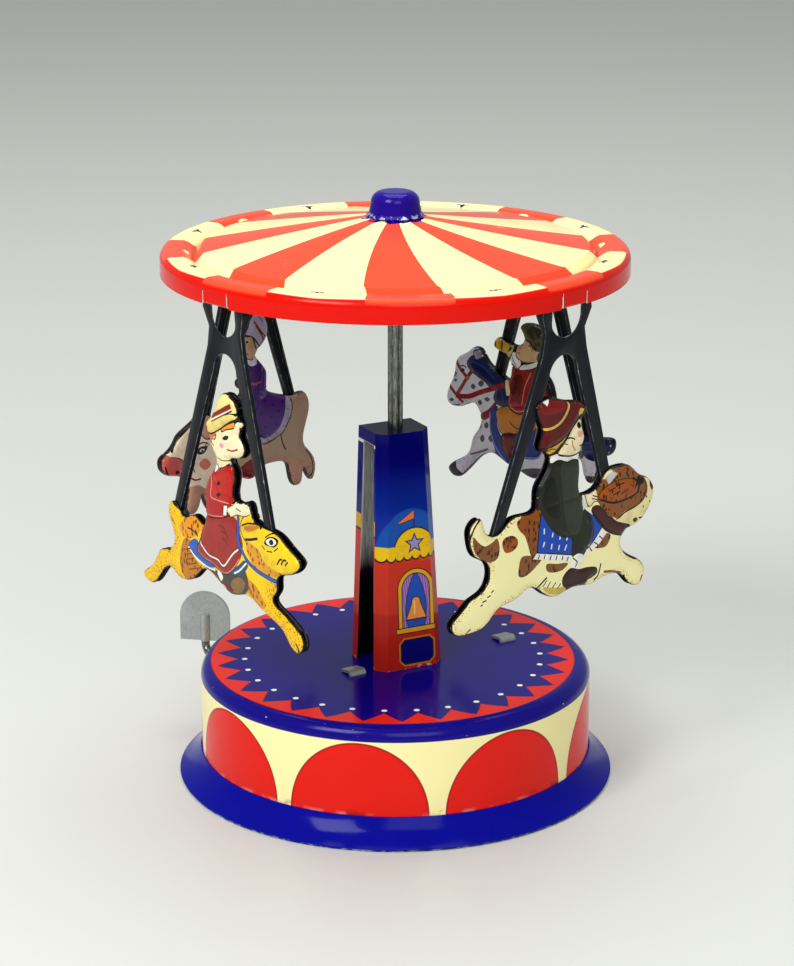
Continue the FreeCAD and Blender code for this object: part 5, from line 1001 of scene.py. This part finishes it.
def filling(ring, spacing=1.0):
    """Points that carry the relief: rows just inside the outline, and a staggered grid in the middle."""
    step = np.roll(ring, -1, axis=0) - np.roll(ring, 1, axis=0)
    inward = np.stack((-step[:, 1], step[:, 0]), axis=1) / np.linalg.norm(step, axis=1)[:, None]
    rows = []
    for depth in (0.12, 0.38, 0.8):
        row = ring + inward * depth
        rows.append(row[edge_distance(row, ring) > depth * 0.85])
    low, high = ring.min(axis=0), ring.max(axis=0)
    down = np.arange(low[1], high[1], spacing * 0.87)
    for index, z in enumerate(down):
        s = np.arange(low[0] + index % 2 * spacing / 2, high[0], spacing)
        row = np.stack((s, np.full(len(s), z)), axis=1)
        row = row[inside(row, ring)]
        if len(row):
            rows.append(row[edge_distance(row, ring) > 1.25])
    kept = np.concatenate(rows)
    return kept[inside(kept, ring)]


def printed_sheet(ring, base, shapes):
    """One flat sheet cut along every painted edge: its points, its triangles, and a colour for each."""
    rings = [ring] + [shape for _, _, shape in shapes]
    colours = [base] + [colour for colour, _, _ in shapes]
    points = [Vector(p) for p in filling(ring)]
    faces = []
    for item in rings:
        faces.append(range(len(points), len(points) + len(item)))
        points += [Vector(p) for p in item]
    found = delaunay_2d_cdt(points, [], faces, 0, 1e-4, False)
    places = np.array([tuple(p) for p in found[0]])
    middles = places[np.array(found[2])].mean(axis=1)
    within = inside(middles, ring)
    top = np.full(len(middles), -1)
    for index, item in enumerate(rings):
        low, high = item.min(axis=0), item.max(axis=0)
        near = np.flatnonzero(within & (middles >= low).all(axis=1) & (middles <= high).all(axis=1))
        top[near[inside(middles[near], item)]] = index
    triangles = [face for face, index in zip(found[2], top) if index >= 0]
    paints = [colours[index] for index in top if index >= 0]
    return places, triangles, paints


def relief(points, ring, shapes, turned_in):
    """Height in mm of the pressed sheet: a rounded edge, a slow swell, and the lift of each shape."""
    edge = edge_distance(points, ring)
    near = np.clip(edge / 0.95, 0.0, 1.0)
    height = 0.65 * np.sqrt(1 - (1 - near) ** 2) + 0.5 * (1 - np.exp(-edge / 3.5))
    height = height - turned_in * (1 - near) ** 3
    for _, lift, shape in shapes:
        if lift:
            deep = np.where(inside(points, shape), edge_distance(points, shape), 0.0)
            share = np.clip(deep / 0.9, 0.0, 1.0)
            height += lift * share * share * (3 - 2 * share) * near
    return height, edge


def pressed_half(label, side, swing, sheet, heights, edges):
    """The mesh of one half of a figure. The inner half has the two belly tabs that reach to the other."""
    points, triangles, paints = sheet
    depth = HANGER_MIDDLE + (HANGER_HALF + heights) * side
    corners = swing.world(points[:, 0] + swing.slide, points[:, 1], depth).tolist()
    faces = [face if side > 0 else face[::-1] for face in triangles]
    if side < 0:
        for middle in TAB_PLACES:
            s = TAB_HALF * np.array((-1, 1, 1, -1)) + middle
            n = HANGER_MIDDLE + HANGER_HALF * TAB_REACH * np.array((-1, -1, 1, 1))
            faces.append(range(len(corners), len(corners) + 4))
            corners += swing.world(s, np.full(4, -TAB_DROP), n).tolist()
    mesh = bpy.data.meshes.new(label)
    mesh.from_pydata(corners, [], faces)
    paint = mesh.color_attributes.new("paint", "FLOAT_COLOR", "CORNER")
    shades = []
    for face in mesh.polygons:
        bare = face.index >= len(triangles)
        face.material_index = 2 if bare else 0
        shades += [TIN if bare else paints[face.index]] * len(face.vertices)
    paint.data.foreach_set("color", np.array(shades).ravel())
    rim = mesh.attributes.new("rim", "FLOAT", "POINT")
    rim.data.foreach_set("value", np.append(edges, np.full(len(corners) - len(edges), 9.0)))
    mesh.shade_smooth()
    return mesh


def reaching_out(shape, ring):
    """A shape whose points near the figure's outline are moved out over it, so that no strip is left bare."""
    moved = []
    for point in shape:
        away = ring - point
        near = away[np.argmin(np.linalg.norm(away, axis=1))]
        far_off = np.linalg.norm(near)
        close = far_off < 1.5 and inside(point[None], ring)[0]
        moved.append(point + near * (1 + 0.6 / max(far_off, 0.05)) if close else point)
    return np.array(moved)


def figure(name, base, text, finish, turned_in=0.0, dent=None):
    """Both halves of one animal with its rider."""
    swing = Swing(name)
    ring = outline_of(name, swing)
    if dent:
        centre, reach, move = dent
        share = np.clip(1 - (np.linalg.norm(ring - centre, axis=1) / reach) ** 2, 0.0, 1.0) ** 2
        ring = ring + share[:, None] * np.array(move)
    shapes = [
        (colour, lift, reaching_out(shape, ring) if lift > 0.12 else shape)
        for colour, lift, shape in read_print(text)
    ]
    sheet = printed_sheet(ring, linear(base)[:3] + (0.0,), shapes)
    heights, edges = relief(sheet[0], ring, shapes, turned_in)
    for side, half in ((1, "outer"), (-1, "inner")):
        mesh = pressed_half(f"{name}_{half}", side, swing, sheet, heights, edges)
        for material in (finish, EDGE_BLACK, BARE_TIN):
            mesh.materials.append(material)
        piece = placed(f"{name}_{half}_print", mesh)
        pressing = piece.modifiers.new("sheet", "SOLIDIFY")
        pressing.thickness = 0.3 * MM
        pressing.offset = -1.0
        pressing.material_offset = 1
        pressing.material_offset_rim = 1
        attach(piece, f"{name}_swing")
        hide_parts(f"{name}_{half}_half")


def hanger_piece(name, materials):
    """The hanger as thin folded tin: shallow below its eye, with one leg spread wider than the solid's."""
    swing = Swing(name)
    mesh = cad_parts[f"{name}_hanger"].data.copy()
    s, z, n = swing.local(np.array([v.co for v in mesh.vertices]))
    share = np.clip((-z - CROTCH_DROP) / (LEG_DROP - CROTCH_DROP), 0.0, 1.0)
    s = s - swing.spread * share * (s < 0)
    thin = np.clip((-z - THIN_START) / THIN_FADE, 0.0, 1.0) * (1 - HANGER_HALF / SOLID_HANGER_HALF)
    depth = HANGER_MIDDLE + (n - HANGER_MIDDLE) * (1 - thin)
    for vertex, place in zip(mesh.vertices, swing.world(s, z, depth)):
        vertex.co = place
    cut = bmesh.new()
    cut.from_mesh(mesh)
    bmesh.ops.remove_doubles(cut, verts=cut.verts, dist=1e-6)
    bmesh.ops.dissolve_limit(cut, angle_limit=math.radians(1.5), verts=cut.verts, edges=cut.edges)
    cut.to_mesh(mesh)
    cut.free()
    mesh.materials.clear()
    for material in materials:
        mesh.materials.append(material)
    for face in mesh.polygons:
        face.material_index = 0
        face.use_smooth = True
    piece = placed(f"{name}_folded_hanger", mesh)
    worn = piece.modifiers.new("worn_edges", "BEVEL")
    worn.width = 0.12 * MM
    worn.segments = 2
    worn.limit_method = "ANGLE"
    worn.angle_limit = math.radians(40)
    worn.material = 1
    worn.harden_normals = True
    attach(piece, f"{name}_swing")
    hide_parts(f"{name}_hanger")


def figure_finish(name, dots, spread, shadow):
    """Glossy print on tin. Fine dots shade the body towards its outline, and the edge is worn."""
    finish = Finish(f"{name}_lithograph", DARK, 0.16)
    colour = finish.tree.nodes.new("ShaderNodeAttribute")
    colour.attribute_name = "paint"
    edge = finish.tree.nodes.new("ShaderNodeAttribute")
    edge.attribute_name = "rim"
    finish.colour = colour.outputs["Color"]
    drawn = Num(finish.tree, colour.outputs["Alpha"])
    rim = Num(finish.tree, edge.outputs["Fac"])
    plain = drawn.under(0.25, 0.1)
    hairy = drawn.between(0.3, 0.7, 0.1)
    # Shadow that deepens towards the outline, then its dots
    turn = (rim * -1.0 + spread) * (1 / spread) + (finish.noise(9, 2) - 0.5) * 1.4
    finish.layer(turn.between(0.3, 9.0, 0.9) * plain * 0.35, linear(shadow))
    dot = finish.cells(0.62) * -1.0 + turn * 0.22
    finish.layer(dot.over(-0.13, 0.06) * plain * 0.85, linear(dots))
    hairs = finish.cells(1.0, (1, 1, 2.0), (0.3, 0.2, 0.0)).under(0.36, 0.1)
    finish.layer(hairs * finish.noise(3.0, 2).over(0.38, 0.1) * hairy * 0.95, linear(dots))
    cloud = finish.noise(3.0, 3)
    finish.layer(cloud.over(0.6, 0.3) * drawn * 0.22, linear("120C0C"))
    # Black edge with bare chips along it
    finish.layer((rim + finish.noise(1.8, 2) * 0.3).under(0.42, 0.16), DARK, 0.3)
    chips = rim.under(0.75, 0.5) * finish.noise(1.1, 3).over(0.68, 0.03)
    finish.layer(chips, TIN, 0.35, 0.85)
    smooth_lacquer(finish)
    return finish.done(specular=0.2)


BARE_TIN = bare_tin("plain_tin")
EDGE_BLACK = enamel_finish("edge_black", DARK, 0.0)
dress(canopy_finish(), "canopy")
dress(drum_finish(), "drum_shell")
dress(enamel_finish("blue_paint", FOOT_BLUE, 0.5, 0.07), "foot_ring")
dress(enamel_finish("cap_paint", CAP_BLUE, APEX + 1.1, 0.16), "cap")
dress(tower_finish(), "tower")
dress(BARE_TIN, "bottom_plate")
dress(bare_tin("key_tin", linear("A6ACAB"), 0.38, (1, 1, 3), 0.7), "key_plate")
dress(
    steel_finish("steel", "6A6D67", 0.24, "43453F"),
    "shaft_tube", "canopy_hub", "spindle", "winding_arbor", "lay_arbor", "crown_arbor", "motor_pillars",
)
dress(
    steel_finish("motor_steel", "B0B2B0", 0.36, "888A8A", metal=0.7),
    "motor_plate_front", "motor_plate_back", "shaft_bridge", "click_spring", "ratchet_click", "ratchet_wheel",
)
dress(steel_finish("spring_steel", "6E7480", 0.3, "454C5C", 0.6), "mainspring")
dress(
    brass_finish(),
    "great_wheel", "lay_pinion", "lay_wheel", "crown_pinion", "crown_wheel", "spindle_pinion",
)
HANGER_LOOK = (hanger_finish(), worn_edge_finish())
for owner in SWINGS:
    hanger_piece(owner, HANGER_LOOK)
figure("rabbit", "F8CE10", RABBIT_PRINT, figure_finish("rabbit", "6A3A08", 6.0, "D58A10"))
figure("dog", "FAF2B4", DOG_PRINT, figure_finish("dog", "3A1606", 1.6, "E0C070"))
figure("horse", "D2D1D8", HORSE_PRINT, figure_finish("horse", "50505C", 2.5, "9A98AA"), 0.6)
# The pig's darker body colour is painted shade on its rump; a lighter fill in its print paints light on the
# head
figure(
    "pig", "AC9076", PIG_PRINT, figure_finish("pig", "8A5040", 4.0, "A87E68"), 0.6,
    ((10.5, -43.0), 8.0, (-6.5, -1.0)),
)


# Floor, light and camera

def floor():
    mesh = bpy.data.meshes.new("floor")
    corners = [(x * FLOOR_HALF, y * FLOOR_HALF, 0) for x, y in ((-1, -1), (1, -1), (1, 1), (-1, 1))]
    mesh.from_pydata(corners, [], [(0, 1, 2, 3)])
    item = placed("floor", mesh)
    material = bpy.data.materials.new("floor")
    material.use_nodes = True
    shader = material.node_tree.nodes["Principled BSDF"]
    shader.inputs["Base Color"].default_value = linear("D3D5D0")
    shader.inputs["Roughness"].default_value = 0.42
    mesh.materials.append(material)


def lamp(name, place, size, power):
    light = bpy.data.lights.new(name, "AREA")
    light.shape = "RECTANGLE"
    light.size = size
    light.size_y = size
    light.energy = power
    item = placed(name, light)
    item.location = place
    item.rotation_euler = (LAMP_AIM - Vector(place)).to_track_quat("-Z", "Y").to_euler()


def studio():
    floor()
    world = bpy.data.worlds.new("studio")
    bpy.context.scene.world = world
    world.use_nodes = True
    world.node_tree.nodes["Background"].inputs["Color"].default_value = linear("DADCD8")
    world.node_tree.nodes["Background"].inputs["Strength"].default_value = 0.55
    lamp("window_left", (-0.6, -0.75, 0.95), 0.5, 10.5)
    lamp("window_front", (0.2, -1.0, 0.75), 0.6, 3.6)
    lamp("overhead", (0.0, 0.3, 1.3), 1.0, 10.0)


def camera():
    view = bpy.data.cameras.new("camera")
    view.sensor_fit = "HORIZONTAL"
    view.sensor_width = 36
    view.lens = LENS
    view.clip_end = 50
    item = placed("camera", view)
    item.location = CAMERA_PLACE
    item.rotation_euler = (math.pi / 2 - CAMERA_TILT, 0, 0)
    bpy.context.scene.camera = item


studio()
camera()
bpy.context.scene.view_settings.view_transform = "Standard"
